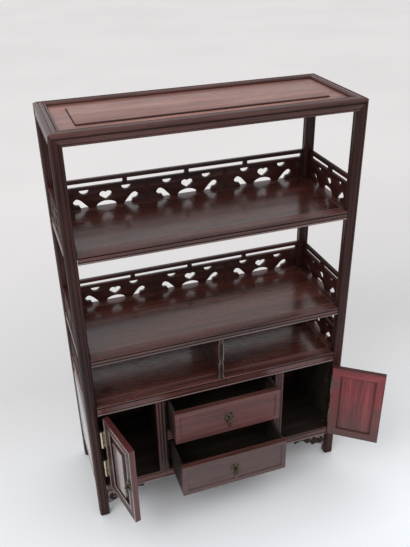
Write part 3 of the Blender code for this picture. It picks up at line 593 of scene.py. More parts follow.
def smooth(points, steps=CURVE_STEPS):
    """Points along a smooth open curve through the given ones."""
    knots = [Vector(p) for p in points]
    knots = [2 * knots[0] - knots[1]] + knots + [2 * knots[-1] - knots[-2]]
    made = []
    for a, b, c, d in zip(knots, knots[1:], knots[2:], knots[3:]):
        for step in range(steps):
            t = step / steps
            bend = (2 * a - 5 * b + 4 * c - d) * t * t + (3 * b - a - 3 * c + d) * t * t * t
            made.append(b + ((c - a) * t + bend) / 2)
    return made + [knots[-2]]


def arc(middle, radius, start, end, steps):
    angles = [math.radians(start + (end - start) * step / steps) for step in range(steps + 1)]
    return [Vector((middle[0] + radius * math.cos(a), middle[1] + radius * math.sin(a))) for a in angles]


def circle(radius, steps=ROUND_STEPS):
    return arc((0.0, 0.0), radius, 0.0, 360.0, steps)[:-1]


def rectangle(left, low, right, high):
    return [Vector(p) for p in ((left, low), (right, low), (right, high), (left, high))]


def rounded_rectangle(half_x, half_y, radius):
    points = []
    for sx, sy, start in ((1, 1, 0), (-1, 1, 90), (-1, -1, 180), (1, -1, 270)):
        middle = (sx * (half_x - radius), sy * (half_y - radius))
        points += arc(middle, radius, start, start + 90, CORNER_STEPS)
    return points


def inset(outline, distance):
    """A closed anticlockwise outline with each side moved inwards."""
    moved = []
    for before, here, after in zip(outline[-1:] + outline[:-1], outline, outline[1:] + outline[:1]):
        first = (here - before).normalized()
        second = (after - here).normalized()
        normals = Vector((-first.y, first.x)), Vector((-second.y, second.x))
        share = distance / (1.0 + normals[0].dot(normals[1]))
        moved.append(here + (normals[0] + normals[1]) * share)
    return moved


def along_x(outline, x):
    return [(x, p[0], p[1]) for p in outline]


def along_y(outline, y):
    return [(p[0], y, p[1]) for p in outline]


def along_z(outline, z):
    return [(p[0], p[1], z) for p in outline]


# Shapes


def skin(built, loops, ring=False, finish=0, peak=None):
    """Add a closed body through loops of equally many points, capped at its ends or joined into a ring.

    With a peak, the last loop is closed by a fan to that point. The finish is a number, or a function
    of row and column that gives one.
    """
    pick = finish if callable(finish) else lambda row, column: finish
    rows = [[built.verts.new(p) for p in loop] for loop in loops]
    count = len(rows[0])
    if ring:
        rows.append(rows[0])
    else:
        built.faces.new(rows[0]).material_index = pick(0, 0)
        if peak is None:
            built.faces.new(rows[-1]).material_index = pick(len(rows) - 2, 0)
        else:
            tip = built.verts.new(peak)
            for i in range(count):
                built.faces.new((rows[-1][i], rows[-1][(i + 1) % count], tip))
    for number, (low, high) in enumerate(zip(rows, rows[1:])):
        for i in range(count):
            j = (i + 1) % count
            face = built.faces.new((low[i], low[j], high[j], high[i]))
            face.material_index = pick(number, i)


def solid(loops, **how):
    """A new shape of one skin."""
    built = bmesh.new()
    skin(built, loops, **how)
    return built


def tube(built, points, radius, closed, finish=0):
    """Add a round wire along points."""
    steps = len(points)
    rows = []
    side = None
    for number, here in enumerate(points):
        before = points[number - 1] if closed or number > 0 else here
        after = points[(number + 1) % steps] if closed or number < steps - 1 else here
        along = (after - before).normalized()
        if side is None:
            side = along.orthogonal().normalized()
        else:
            side = (side - along * side.dot(along)).normalized()
        over = along.cross(side)
        rows.append([here + (side * q.x + over * q.y) * radius for q in circle(1.0, WIRE_STEPS)])
    skin(built, rows, closed, finish)


BODY_OF = {}
for body, members in frame["record"]["behaviour"]["bodies"].items():
    for member in members:
        BODY_OF[member] = body
ON_CARCASS = Matrix.Translation(CENTRE)


def placed(name, data):
    made = bpy.data.objects.new(name, data)
    bpy.context.scene.collection.objects.link(made)
    return made


def shaped(name, built, finishes):
    """An object of a finished shape."""
    mesh = bpy.data.meshes.new(name)
    built.to_mesh(mesh)
    built.free()
    for finish in finishes:
        mesh.materials.append(finish)
    return placed(name, mesh)


def show(name, built, finishes, place=ON_CARCASS):
    """Put a finished shape in the place of a node, on that node's body and with its finishes."""
    bmesh.ops.recalc_face_normals(built, faces=built.faces)
    made = shaped(f"{name}_form", built, finishes)
    made.data.shade_smooth()
    made.data.set_sharp_from_angle(angle=SHARP)
    made.matrix_world = place
    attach(made, BODY_OF[name])
    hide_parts(name)


def board(built, low, high, soft=SOFT_EDGE, finish=0):
    """Add a plain board between two corners, with rubbed edges."""
    outline = rectangle(low[0], low[1], high[0], high[1])
    profile = ((soft, 0.0), (0.0, soft), (0.0, high[2] - low[2] - soft), (soft, high[2] - low[2]))
    rows = [along_z(inset(outline, edge), low[2] + rise) for edge, rise in profile]
    skin(built, rows, finish=finish)


def show_board(name, low, high, finish, place=ON_CARCASS):
    built = bmesh.new()
    board(built, low, high)
    show(name, built, [finish], place)


def pierced(outlines, thickness, rounding):
    """A sawn and pierced board in the XY plane, with all its edges rounded over."""
    curve = bpy.data.curves.new("sawn", "CURVE")
    curve.dimensions = "2D"
    curve.fill_mode = "BOTH"
    curve.extrude = thickness / 2 - rounding
    curve.bevel_depth = rounding
    curve.bevel_resolution = SAWN_STEPS
    curve.offset = -rounding
    for points in outlines:
        spline = curve.splines.new("POLY")
        spline.points.add(len(points) - 1)
        for knot, p in zip(spline.points, points):
            knot.co = (p[0], p[1], 0.0, 1.0)
        spline.use_cyclic_u = True
    sawn = placed("sawn", curve)
    bpy.context.view_layer.update()
    mesh = bpy.data.meshes.new_from_object(sawn.evaluated_get(bpy.context.evaluated_depsgraph_get()))
    built = bmesh.new()
    built.from_mesh(mesh)
    bmesh.ops.remove_doubles(built, verts=built.verts, dist=WELD)
    bpy.data.objects.remove(sawn, do_unlink=True)
    bpy.data.curves.remove(curve)
    bpy.data.meshes.remove(mesh)
    return built


# Posts


def post_outline():
    """A square with round beads at its corners and a groove beside each bead."""
    half = POST / 2
    bead = half - POST_BEAD
    face = bead - POST_GROOVE
    quarter = arc((bead, bead), POST_BEAD, 0, 90, BEAD_STEPS)[:-1]
    quarter += bulge((bead, half), (face, half), POST_GROOVE_DEPTH, GROOVE_STEPS)
    quarter += bulge((-face, half), (-bead, half), POST_GROOVE_DEPTH, GROOVE_STEPS)
    points = []
    for turn in range(4):
        points += quarter
        quarter = [Vector((-p.y, p.x)) for p in quarter]
    return points


def posts():
    """Posts that run up into the top's corners and meet its members in three-way mitres."""
    outline = post_outline()
    half = POST / 2
    for row, sy in (("front", -1), ("back", 1)):
        for side, sx in SIDES:
            name = f"post_{row}_{side}"
            low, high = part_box(name)
            middle = (low + high) / 2

            def head(p):
                return (p[0], p[1], TOP_HIGH - max(half - sx * p[0], half - sy * p[1]) * TOP / POST)

            rows = [along_z(inset(outline, FOOT_ROUND), low.z), along_z(outline, low.z + FOOT_ROUND)]
            rows.append([head(p) for p in outline])
            built = solid(rows, peak=head(Vector((-sx, -sy)) * (half - POST_BEAD)))
            show(name, built, [POST_WOOD], Matrix.Translation((middle.x, middle.y, 0.0)))


# Top


def top_profile():
    """A member of the top in section, as distances behind its face and below the top's rim."""
    low = TOP - TOP_LOWER_BEAD
    high = TOP_BEAD + TOP_GROOVE
    points = arc((TOP_LOWER_BEAD, low), TOP_LOWER_BEAD, 90, 180, BEAD_STEPS)
    points += [(TOP_LINE_DEPTH, low - TOP_LINE / 2), (TOP_BAND, low - TOP_LINE)]
    points += [(TOP_BAND, high), (TOP_GROOVE_DEPTH, high - TOP_GROOVE / 4)]
    points += [(TOP_GROOVE_DEPTH, TOP_BEAD + TOP_GROOVE / 4)]
    points += arc((TOP_BEAD, TOP_BEAD), TOP_BEAD, 180, 270, BEAD_STEPS)[:-1]
    inner = POST - TOP_INNER_BEAD
    points += bulge((TOP_BEAD, 0.0), (TOP_BEAD + TOP_LINE, 0.0), TOP_LINE_DEPTH, GROOVE_STEPS)
    points += bulge((inner - TOP_LINE, 0.0), (inner, 0.0), TOP_LINE_DEPTH, GROOVE_STEPS)
    points += arc((inner, TOP_INNER_BEAD), TOP_INNER_BEAD, 270, 360, BEAD_STEPS)
    floor = TOP_RIM_STEP
    points += [(POST, floor), (TOP_FRAME - SOFT_EDGE, floor), (TOP_FRAME, floor + SOFT_EDGE)]
    ledge = TOP_FRAME + TOP_LEDGE
    points += [(TOP_FRAME, TOP - TOP_LEDGE), (ledge, TOP - TOP_LEDGE), (ledge, TOP)]
    return points


def rounded_corner(x, y):
    """A spot in plan, moved in so that the top's square corners become round."""
    across = TOP_CORNER - (HALF_W - abs(x))
    deep = TOP_CORNER - (HALF_D - abs(y))
    if across <= 0.0 or deep <= 0.0:
        return x, y
    share = 1.0 - max(across, deep) / math.hypot(across, deep)
    return x - math.copysign(across * share, x), y - math.copysign(deep * share, y)


def top():
    profile = top_profile()
    sunk = profile.index((POST, TOP_RIM_STEP))
    built = bmesh.new()
    ends = [(-1, step) for step in TOP_CORNER_STEPS] + [(1, step) for step in reversed(TOP_CORNER_STEPS)]
    for turn in range(4):
        kind = turn % 2
        reach, face = (HALF_D, HALF_W) if kind else (HALF_W, HALF_D)
        spin = Matrix.Rotation(math.radians(90 * turn), 3, "Z")
        loops = []
        for hand, step in ends:
            loop = []
            for deep, down in profile:
                end = reach - max(deep, down * POST / TOP) - step
                spot = spin @ Vector((hand * end, deep - face, TOP_HIGH - down))
                loop.append((*rounded_corner(spot.x, spot.y), spot.z))
            loops.append(loop)
        # the sunk floor round the field takes the lighter top wood, painted light
        skin(built, loops, finish=lambda row, column: 2 if column == sunk else kind)
    show("top_frame", built, [RIM["X"], RIM["Y"], TOP_LIT_BORDER])

    panel_low, panel_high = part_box("top_panel")
    edge = TOP_FRAME + FIT
    outline = rounded_rectangle(HALF_W - edge, HALF_D - edge, TOP_FIELD_CORNER)
    brink = panel_high.z - TOP_FIELD_BEVEL
    rows = [along_z(outline, panel_low.z), along_z(outline, brink)]
    for angle in TOP_FIELD_ANGLES:
        turn = math.radians(angle)
        loop = inset(outline, TOP_FIELD_BEVEL * (1 - math.cos(turn)))
        rows.append(along_z(loop, brink + TOP_FIELD_BEVEL * math.sin(turn)))
    field = len(rows) - 2
    # painted shade: the field's sides and rounded edge take the darker framing wood, a dark line round the
    # field
    built = solid(rows, finish=lambda row, column: 1 if row < field else 0)
    show("top_panel", built, [TOP_LIT_FIELD, FRAME["X"]])


# Shelves and the cabinet's boards


def rail_profile(tall, wide):
    """A rail in section: a round bead, a groove, a raised band, a groove and a round bead."""
    low = RAIL_BEAD
    groove_low = low + RAIL_GROOVE
    groove_high = tall - RAIL_BEAD - RAIL_GROOVE
    high = tall - RAIL_BEAD
    root = RAIL_BEAD_RISE
    points = bulge((root, 0.0), (root, low), RAIL_BEAD_RISE)
    points += [(root, low), (RAIL_GROOVE_DEPTH, low), (RAIL_GROOVE_DEPTH, groove_low)]
    points += [(RAIL_BAND_DEPTH, groove_low), (RAIL_BAND_DEPTH, groove_high)]
    points += [(RAIL_GROOVE_DEPTH, groove_high), (RAIL_GROOVE_DEPTH, high)]
    points += bulge((root, high), (root, tall), RAIL_BEAD_RISE)
    points += [(root, tall), (wide - SOFT_EDGE, tall), (wide, tall - SOFT_EDGE), (wide, 0.0)]
    return points


def rails(built, low, high, painted_shade_inside=False):
    """Add four rails between the posts, mitred where they meet behind the posts' corners.

    Finishes: 0 and 1 along X and Y, 2 a painted highlight on the lower bead, 3 painted shade on the upper
    face where it lies in the dark.
    """
    wide = NOTCH + FIT + SHELF_LAP
    profile = rail_profile(high - low, wide)
    upper_face = len(profile) - 4
    for turn in range(4):
        kind = turn % 2
        reach, face = (NEAR_Y, FACE_X) if kind else (NEAR_X, -FRONT_Y)
        spin = Matrix.Rotation(math.radians(90 * turn), 3, "Z")
        ends = []
        for hand in (-1, 1):
            loop = []
            for depth, height in profile:
                end = reach - max(0.0, depth - NOTCH)
                loop.append(spin @ Vector((hand * end, depth - face, low + height)))
            ends.append(loop)

        def part(row, column):
            if column < BEAD_STEPS:
                return 2
            return 3 if painted_shade_inside and column >= upper_face else kind

        skin(built, ends, finish=part)


def let_in_panel(built, low, high, finish=0):
    half_x = INNER_X - SHELF_LAP - FIT
    half_y = INNER_Y - SHELF_LAP - FIT
    board(built, (-half_x, -half_y, low), (half_x, half_y, high), finish=finish)


def shelves():
    for level in ("upper", "middle"):
        low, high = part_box(f"{level}_shelf_frame")
        built = bmesh.new()
        rails(built, low.z, high.z)
        show(f"{level}_shelf_frame", built, [RAIL["X"], RAIL["Y"], PAINTED_HIGHLIGHT["X"]])
        low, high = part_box(f"{level}_shelf_panel")
        built = bmesh.new()
        let_in_panel(built, low.z, high.z)
        show(f"{level}_shelf_panel", built, [PANEL])
    # the cabinet floor's field and the inner top of its rails get painted shade
    for name, field in (("cabinet_top", PANEL), ("cabinet_floor", SHADE)):
        low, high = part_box(name)
        built = bmesh.new()
        rails(built, low.z, high.z, field == SHADE)
        let_in_panel(built, low.z + SHELF_LEDGE, high.z, 3)
        show(name, built, [RAIL["X"], RAIL["Y"], PAINTED_HIGHLIGHT["X"], field])


# Pierced galleries


def heart(middle):
    """A heart with its point down."""
    points = []
    for step in range(HEART_STEPS):
        t = 2 * math.pi * step / HEART_STEPS
        across = math.sin(t) ** 3
        up = sum(size * math.cos((number + 1) * t) for number, size in enumerate(HEART_WAVES))
        up = (up + HEART_FILL * math.cos(t) ** 6 + HEART_SHIFT) / HEART_SPAN
        points.append(Vector((middle + across * HEART_WIDTH / 2, HEART_MIDDLE + up * HEART_HEIGHT)))
    return points


def half_moon(middle):
    """A half oval with its flat side up."""
    angles = [math.pi * (1 + step / MOON_STEPS) for step in range(MOON_STEPS + 1)]
    half = MOON_WIDTH / 2
    return [Vector((middle + half * math.cos(a), MOON_TOP + MOON_DROP * math.sin(a))) for a in angles]


def module_foot(middle):
    """The lower edge of one module, from left to right: a comma opening, an arch and a comma opening."""
    right = smooth(COMMA)
    left = [Vector((-p.x, p.y)) for p in reversed(right)]
    angles = [math.pi * (1 - step / MOON_STEPS) for step in range(MOON_STEPS + 1)]
    low_arch = [Vector((ARCH_WIDTH / 2 * math.cos(a), ARCH_RISE * math.sin(a))) for a in angles]
    return [Vector((middle + p.x, p.y)) for p in left + low_arch + right]


def gallery(length, tall, thick, modules):
    """A gallery in the XY plane, with its middle at 0 and its foot at height 0."""
    half = length / 2
    span = length - 2 * GALLERY_END
    middles = [span * ((number + 0.5) / modules - 0.5) for number in range(modules)]
    outer = [Vector((-half, 0.0))]
    for middle in middles:
        outer += module_foot(middle)
    outer += [Vector((half, 0.0)), Vector((half, tall)), Vector((-half, tall))]
    outlines = [outer]
    for middle in middles:
        outlines.append(heart(middle))
        outlines += [half_moon(middle - MOON_OFFSET), half_moon(middle + MOON_OFFSET)]
    slots = modules + 1
    pitch = (length - GALLERY_STRUT) / slots
    high = tall - GALLERY_RAIL
    for number in range(slots):
        left = -half + GALLERY_STRUT / 2 + pitch * number
        reach = left + pitch
        start = left if number == 0 else left + GALLERY_STRUT / 2
        end = reach if number == slots - 1 else reach - GALLERY_STRUT / 2
        outlines.append(rectangle(start, high - GALLERY_SLOT, end, high))
    built = pierced(outlines, thick, GALLERY_ROUND)
    strip_top = high - GALLERY_SLOT - GALLERY_ROUND
    face = thick / 2
    for number in range(modules + 1):
        middle = span * (number / modules - 0.5)
        left = max(middle - GALLERY_STRIP / 2, -half)
        right = min(middle + GALLERY_STRIP / 2, half)
        board(built, (left, 0.0, -face + FIT), (right, strip_top, face + GALLERY_STRIP_RISE))
    return built


def galleries():
    for level in ("upper", "middle", "lower"):
        for side, turn, modules in GALLERY_SIDES:
            name = f"{level}_gallery_{side}"
            low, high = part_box(name)
            size = high - low
            middle = (low + high) / 2
            built = gallery(max(size.x, size.y), size.z, min(size.x, size.y), modules)
            spin = Matrix.Rotation(math.radians(turn), 4, "Z")
            place = Matrix.Translation((middle.x, middle.y, low.z)) @ spin @ UPRIGHT
            show(name, built, [FRAME["X"] if side == "back" else END_WOOD], place)


def niche_divider():
    """An upright board whose front edge is carved into two lobes with raised rims and sunk middles, with a
    painted highlight on the rims and painted shade in the middles.
    """
    low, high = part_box("niche_divider")
    tall = high.z - low.z
    front = low.y - CENTRE.y
    back = high.y - CENTRE.y
    rows = []
    for share, half in smooth(DIVIDER_CARVING):
        sink = 0.0
        for start, end in DIVIDER_LOBES:
            if start < share < end:
                sink = DIVIDER_SINK * math.sin(math.pi * (share - start) / (end - start)) ** 0.5
        right = [(DIVIDER / 2, back), (DIVIDER / 2, front + DIVIDER_EDGE + FIT)]
        for wide, deep, cut in DIVIDER_SECTION:
            right.append((wide * half, front + deep * DIVIDER_EDGE + cut * sink))
        outline = right + [(0.0, front + DIVIDER_MIDDLE * sink)] + [(-x, y) for x, y in reversed(right)]
        rows.append(along_z(outline, low.z + share * tall))
    middle = len(right)

    def carved(row, column):
        beside = min(abs(column - middle), abs(column + 1 - middle))
        if beside < DIVIDER_SHADED:
            return 2
        return 1 if beside < DIVIDER_HIGHLIGHTED else 0

    show("niche_divider", solid(rows, finish=carved), [FRAME["Z"], PAINTED_HIGHLIGHT["Z"], SHADE])


# The cabinet


def partitions():
    low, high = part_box("cabinet_partition_right")
    back = high.y - CENTRE.y
    stile_in = STILE_OUT - STILE
    guide = stile_in - STILE_REVEAL
    step = FRONT_Y + STILE_DEPTH
    behind = [(STILE_OUT, FRONT_Y + REED_RISE), (STILE_OUT, step), (guide + PARTITION, step)]
    behind += [(guide + PARTITION, back), (guide, back), (guide, step), (stile_in, step)]
    behind = [Vector(p) for p in behind]
    face = reeded((stile_in, FRONT_Y + REED_RISE), (STILE_OUT, FRONT_Y + REED_RISE), REEDS, -REED_RISE)
    reeds = face + behind
    plain = [Vector((p.x, FRONT_Y)) for p in face] + [Vector((STILE_OUT, FRONT_Y))] + behind[1:]
    foot = low.z + STILE_FOOT
    sections = ((plain, low.z), (plain, foot), (reeds, foot + REED_RISE), (reeds, high.z))
    last = len(reeds) - 1

    # the stile keeps the framing; the guide board behind it gets painted shade
    def stile_or_board(row, column):
        return 0 if column <= len(face) or column == last else 1

    for side, sx in SIDES:
        loops = [[(sx * p.x, p.y, z) for p in outline] for outline, z in sections]
        show(f"cabinet_partition_{side}", solid(loops, finish=stile_or_board), [FRAME["Z"], SHADE])


def drawer_divider():
    low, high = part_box("drawer_divider")
    rail_x = high.x - CENTRE.x
    board_x = rail_x - STILE_REVEAL
    step = FRONT_Y + STILE_DEPTH - FIT
    back = high.y - CENTRE.y
    right = [(rail_x, FRONT_Y), (rail_x, step), (board_x, step), (board_x, back)]
    outline = [Vector(p) for p in right + [(-x, y) for x, y in reversed(right)]]
    tall = high.z - low.z
    root = RAIL_BEAD_RISE
    profile = bulge((root, 0.0), (root, RAIL_BEAD), RAIL_BEAD_RISE)
    profile += [(root, RAIL_BEAD), (RAIL_GROOVE_DEPTH, RAIL_BEAD), (RAIL_BAND_DEPTH, RAIL_BEAD + RAIL_GROOVE)]
    profile += [(RAIL_BAND_DEPTH, tall - RAIL_BEAD - RAIL_GROOVE), (RAIL_GROOVE_DEPTH, tall - RAIL_BEAD)]
    profile += bulge((root, tall - RAIL_BEAD), (root, tall), RAIL_BEAD_RISE) + [(root, tall)]
    rows = [along_z(inset(outline, edge), low.z + rise) for edge, rise in profile]
    show("drawer_divider", solid(rows), [RAIL["X"]])


def cabinet_panels():
    for side, sx in SIDES:
        low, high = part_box(f"cabinet_side_{side}")
        low, high = low - CENTRE, high - CENTRE
        outline = rectangle(low.y, low.z, high.y, high.z)
        outer, inner = (high.x, low.x) if sx > 0 else (low.x, high.x)
        field = outer + sx * SIDE_RISE
        profile = ((0.0, inner), (0.0, outer - sx * SIDE_SLOPE), (SIDE_BEVEL, field - sx * SOFT_EDGE / 2))
        profile += ((SIDE_BEVEL + SOFT_EDGE, field),)
        loops = [along_x(inset(outline, edge), x) for edge, x in profile]
        # painted shade on the inner face
        built = solid(loops, finish=lambda row, column: 1 if row == 0 else 0)
        show(f"cabinet_side_{side}", built, [SIDE_WOOD, SHADE])
    low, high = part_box("cabinet_back")
    # painted shade on the back board
    show_board("cabinet_back", low - CENTRE, high - CENTRE, SHADE)


def scroll(middle, radius, turns, start):
    """Points of a scroll that winds in from its outer end."""
    points = []
    for step in range(SPIRAL_STEPS + 1):
        share = step / SPIRAL_STEPS
        angle = math.radians(start) + 2 * math.pi * turns * share
        reach = radius * (1.0 - SCROLL_SHRINK * share)
        points.append(Vector((middle[0] + reach * math.cos(angle), middle[1] + reach * math.sin(angle))))
    return points


def below_rail(points):
    """Points that are given beside the leg and below the rail, with their drop stretched."""
    return [Vector((x, -y * BRACKET_STRETCH)) for x, y in points]


def brackets():
    """A board with a lobed lower edge and two eyes, and scrolls and a leaf carved on its face, with painted
    light on the ground and painted shade on the lines.
    """
    edge = below_rail(smooth(BRACKET_EDGE))
    outlines = [edge + [Vector((BRACKET_LENGTH, 0.0)), Vector((0.0, 0.0))]]
    for x, y, half_x, half_y in BRACKET_EYES:
        outlines.append(below_rail([(x + p.x * half_x, y - p.y * half_y) for p in circle(1.0)]))
    lines = []
    for x, y, radius, turns, start in BRACKET_SCROLLS:
        lines.append(scroll((x, -y * BRACKET_STRETCH), radius, turns, start))
    lines.append(below_rail(smooth(BRACKET_LEAF)))
    for side, sx in SIDES:
        name = f"corner_bracket_{side}"
        low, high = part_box(name)
        thick = high.y - low.y
        sawn = [[Vector((-sx * p.x, p.y)) for p in outline] for outline in outlines]
        built = pierced(sawn, thick - BRACKET_BACK, BRACKET_ROUND)
        bmesh.ops.translate(built, verts=built.verts, vec=(0.0, 0.0, -BRACKET_BACK / 2))
        face = thick / 2 - BRACKET_BACK + BRACKET_LINE_RISE
        for line in lines:
            tube(built, [Vector((-sx * p.x, p.y, face)) for p in line], BRACKET_LINE, False, 1)
        leg = high.x if sx > 0 else low.x
        place = Matrix.Translation((leg, (low.y + high.y) / 2, high.z)) @ UPRIGHT
        # painted light on the ground, which lies in the shade of the cabinet's floor, and painted shade on
        # the carved lines
        show(name, built, [PAINTED_HIGHLIGHT["X"], SHADE], place)


# Pulls, with their back on y = 0 and their face towards -Y


def ring(built, radius, wire, axes, middle):
    first, second = (Vector(axis) for axis in axes)
    points = [Vector(middle) + (first * p.x + second * p.y) * radius for p in circle(1.0)]
    tube(built, points, wire, True)


def pull(owner, hang, seat):
    """A rosette with an eye on a face at the seat, and the drop that swings in the eye."""
    base = hang @ Matrix.Translation(Vector(seat) + Vector((0.0, -FIT, 0.0)))
    eye_out = PLATE_THICK + EYE + EYE_WIRE - EYE_SINK
    rows = []
    for share, height in PLATE_PROFILE:
        loop = []
        for p in circle(1.0, PLATE_STEPS):
            wave = abs(math.cos(PLATE_PETALS / 2 * math.atan2(p.y, p.x)))
            radius = share * (PLATE - PLATE_PETAL_DEPTH * (1.0 - wave) * share)
            bulb = PLATE_THICK * (1.0 - PLATE_HOLLOW + PLATE_HOLLOW * wave)
            loop.append((p.x * radius, -height * bulb, p.y * radius))
        rows.append(loop)
    built = solid(rows)
    ring(built, EYE, EYE_WIRE, ((0, 1, 0), (0, 0, 1)), (0.0, -eye_out, 0.0))
    show(f"{owner}_pull_plate", built, [BRONZE], base)

    rows = []
    for below, wide, thick in smooth(PENDANT):
        rows.append([(p.x * wide, p.y * thick, -below) for p in circle(1.0)])
    built = solid(rows)
    ring(built, DROP_RING, DROP_WIRE, ((1, 0, 0), (0, 0, 1)), (0.0, 0.0, -DROP_RING))
    show(f"{owner}_pull_drop", built, [BRONZE], base @ Matrix.Translation((0.0, -eye_out, -DROP_HANG)))


# Doors


def joint_of(body):
    return next(entry for entry in frame["joints"] if entry["child"] == body)


def door_frame(outline, face):
    """Four mitred members: an outer bead, a groove, a dished face and a bead along the opening.

    Finishes: 0 and 1 framing, 2 beads with a painted highlight, 3 grooves with painted shade, 4 and 5 bare
    wood behind, 6 and 7 the edges.
    """
    sunk = DOOR_BEAD_RISE
    groove_end = DOOR_BEAD_OUT + DOOR_GROOVE
    bead_start = DOOR_FRAME - DOOR_BEAD_IN
    front = bulge((0.0, sunk), (DOOR_BEAD_OUT, sunk), -sunk)
    # kind 2 paints a highlight on the beads; kind 3 paints shade in the groove and in the step down to the
    # panel
    kinds = [2] * len(front)
    front += [(DOOR_BEAD_OUT, sunk), (DOOR_BEAD_OUT + DOOR_GROOVE / 2, sunk + DOOR_GROOVE / 2)]
    kinds += [3, 3]
    for step in range(BEAD_STEPS):
        share = step / BEAD_STEPS
        depth = sunk + (DOOR_DISH - sunk) * math.sin(share * math.pi / 2)
        front.append((groove_end + (bead_start - groove_end) * share, depth))
        kinds.append(None)
    inner_bead = bulge((bead_start, DOOR_DISH), (DOOR_FRAME, DOOR_DISH), -DOOR_BEAD_RISE)
    front += inner_bead
    kinds += [2] * len(inner_bead)
    front += [(DOOR_FRAME, DOOR_DISH), (DOOR_FRAME, DOOR_LIP)]
    kinds += [3]
    inner = DOOR_FRAME - DOOR_REBATE
    rear = [(inner, DOOR_LIP), (inner, DOOR_THICK - SOFT_EDGE), (inner - SOFT_EDGE, DOOR_THICK)]
    rear += [(SOFT_EDGE, DOOR_THICK), (0.0, DOOR_THICK - SOFT_EDGE)]
    rows = [along_y(inset(outline, edge), face + depth) for edge, depth in front + rear]
    last = len(rows) - 1

    def part(row, column):
        if row == last:
            return 6 + column % 2
        if row >= len(kinds):
            return 4 + column % 2
        return column % 2 if kinds[row] is None else kinds[row]

    return solid(rows, ring=True, finish=part)


def hinge(name, height, axis, swing, hand, finish):
    """Two leaves with screws, and three knuckles on a pin, with the axis on Z."""
    far = HINGE_GAP / 2 - FIT
    near = far - LEAF
    half = HINGE_LENGTH / 2
    third = HINGE_LENGTH / 6  # half of the middle knuckle, which takes a third of the length
    start = KNUCKLE + FIT
    leaves = (
        ("fixed", -1, axis, ((-half, -third - FIT / 2), (third + FIT / 2, half))),
        ("moving", 1, swing, ((-third + FIT / 2, third - FIT / 2),)),
    )
    rim = arc((0.0, 0.0), SCREW, 90 - SCREW_ARC, 90 + SCREW_ARC, SCREW_STEPS)
    level = Matrix.Translation((0.0, 0.0, height))
    for kind, sx, place, knuckles in leaves:
        built = bmesh.new()
        inner, outer = sorted((sx * near, sx * far))
        board(built, (inner, start, -half), (outer, LEAF_WIDTH, half), LEAF_SOFT)
        for low, high in knuckles:
            soft = KNUCKLE_SOFT
            profile = ((soft, low), (0.0, low + soft), (0.0, high - soft), (soft, high))
            skin(built, [along_z(circle(KNUCKLE - edge), z) for edge, z in profile])
            board(built, (inner, KNUCKLE / 2, low), (outer, start + LEAF, high), LEAF_SOFT)
        if kind == "fixed":
            skin(built, [along_z(circle(HINGE_PIN), -third - FIT), along_z(circle(HINGE_PIN), third + FIT)])
        face = sx * near
        rise = -sx * SCREW_RISE
        for share in SCREW_SPOTS:
            spot = half * share
            across = (start + LEAF_WIDTH) / 2 + (LEAF if spot else -LEAF)
            for hand_y in (-1, 1):
                disc = [Vector((across + p.x, spot + hand_y * (p.y + SCREW_SLOT / 2))) for p in rim]
                skin(built, [along_x(disc, face - rise), along_x(disc, face + rise)])
        show(f"{name}_{kind}_leaf", built, [finish], place @ level @ hand)


def door(name, sx, brass):
    joint = joint_of(name)
    axis = Vector((joint["pos_m"][0], joint["pos_m"][1], 0.0))
    opened = -math.radians(joint["range_deg"][0])
    fixed = Matrix.Translation(axis)
    swing = fixed @ Matrix.Rotation(sx * opened, 4, "Z")
    low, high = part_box(f"{name}_frame")
    from_middle = abs(axis.x - CENTRE.x)
    face = CENTRE.y + FRONT_Y - axis.y
    far = from_middle - STILE_OUT - DOOR_GAP
    ends = sorted((-sx * (INNER_X - from_middle), -sx * far))
    outline = rectangle(ends[0], low.z, ends[1], high.z)
    show(f"{name}_frame", door_frame(outline, face), DOOR_FINISHES, swing)

    edge = inset(outline, DOOR_FRAME - DOOR_REBATE + FIT)
    front = face + DOOR_LIP + FIT
    field = DOOR_FIELD_BACK - DOOR_LIP - FIT
    profile = ((DOOR_MARGIN + SOFT_EDGE, field), (DOOR_MARGIN, field + SOFT_EDGE))
    profile += ((DOOR_MARGIN - DOOR_FIELD_BEVEL, DOOR_MARGIN_SINK), (0.0, DOOR_MARGIN_SINK))
    profile += ((0.0, DOOR_PANEL - DOOR_REAR_SLOPE), (DOOR_REAR_EDGE, DOOR_PANEL - SOFT_EDGE))
    profile += ((DOOR_REAR_EDGE + SOFT_EDGE, DOOR_PANEL),)
    # the field with its painted sheen, its margin in the darker framing, and bare wood behind
    kinds = (0, 1, 1, 1, 2, 2)
    rows = [along_y(inset(edge, margin), front + depth) for margin, depth in profile]
    built = solid(rows, finish=lambda row, column: kinds[row])
    show(f"{name}_panel", built, [DOOR_SHEEN_WOOD, FRAME["Z"], BARE_Z], swing)

    pull(name, swing, (-sx * (far - PULL_INSET), face, (low.z + high.z) / 2))
    hand = Matrix.Rotation(math.pi, 4, "Y") if sx > 0 else Matrix.Identity(4)
    reach = HINGE_INSET + HINGE_LENGTH / 2
    hinge(f"{name}_upper_hinge", CABINET_ROOF - reach, fixed, swing, hand, brass)
    hinge(f"{name}_lower_hinge", FLOOR_TOP + reach, fixed, swing, hand, brass)


# Drawers


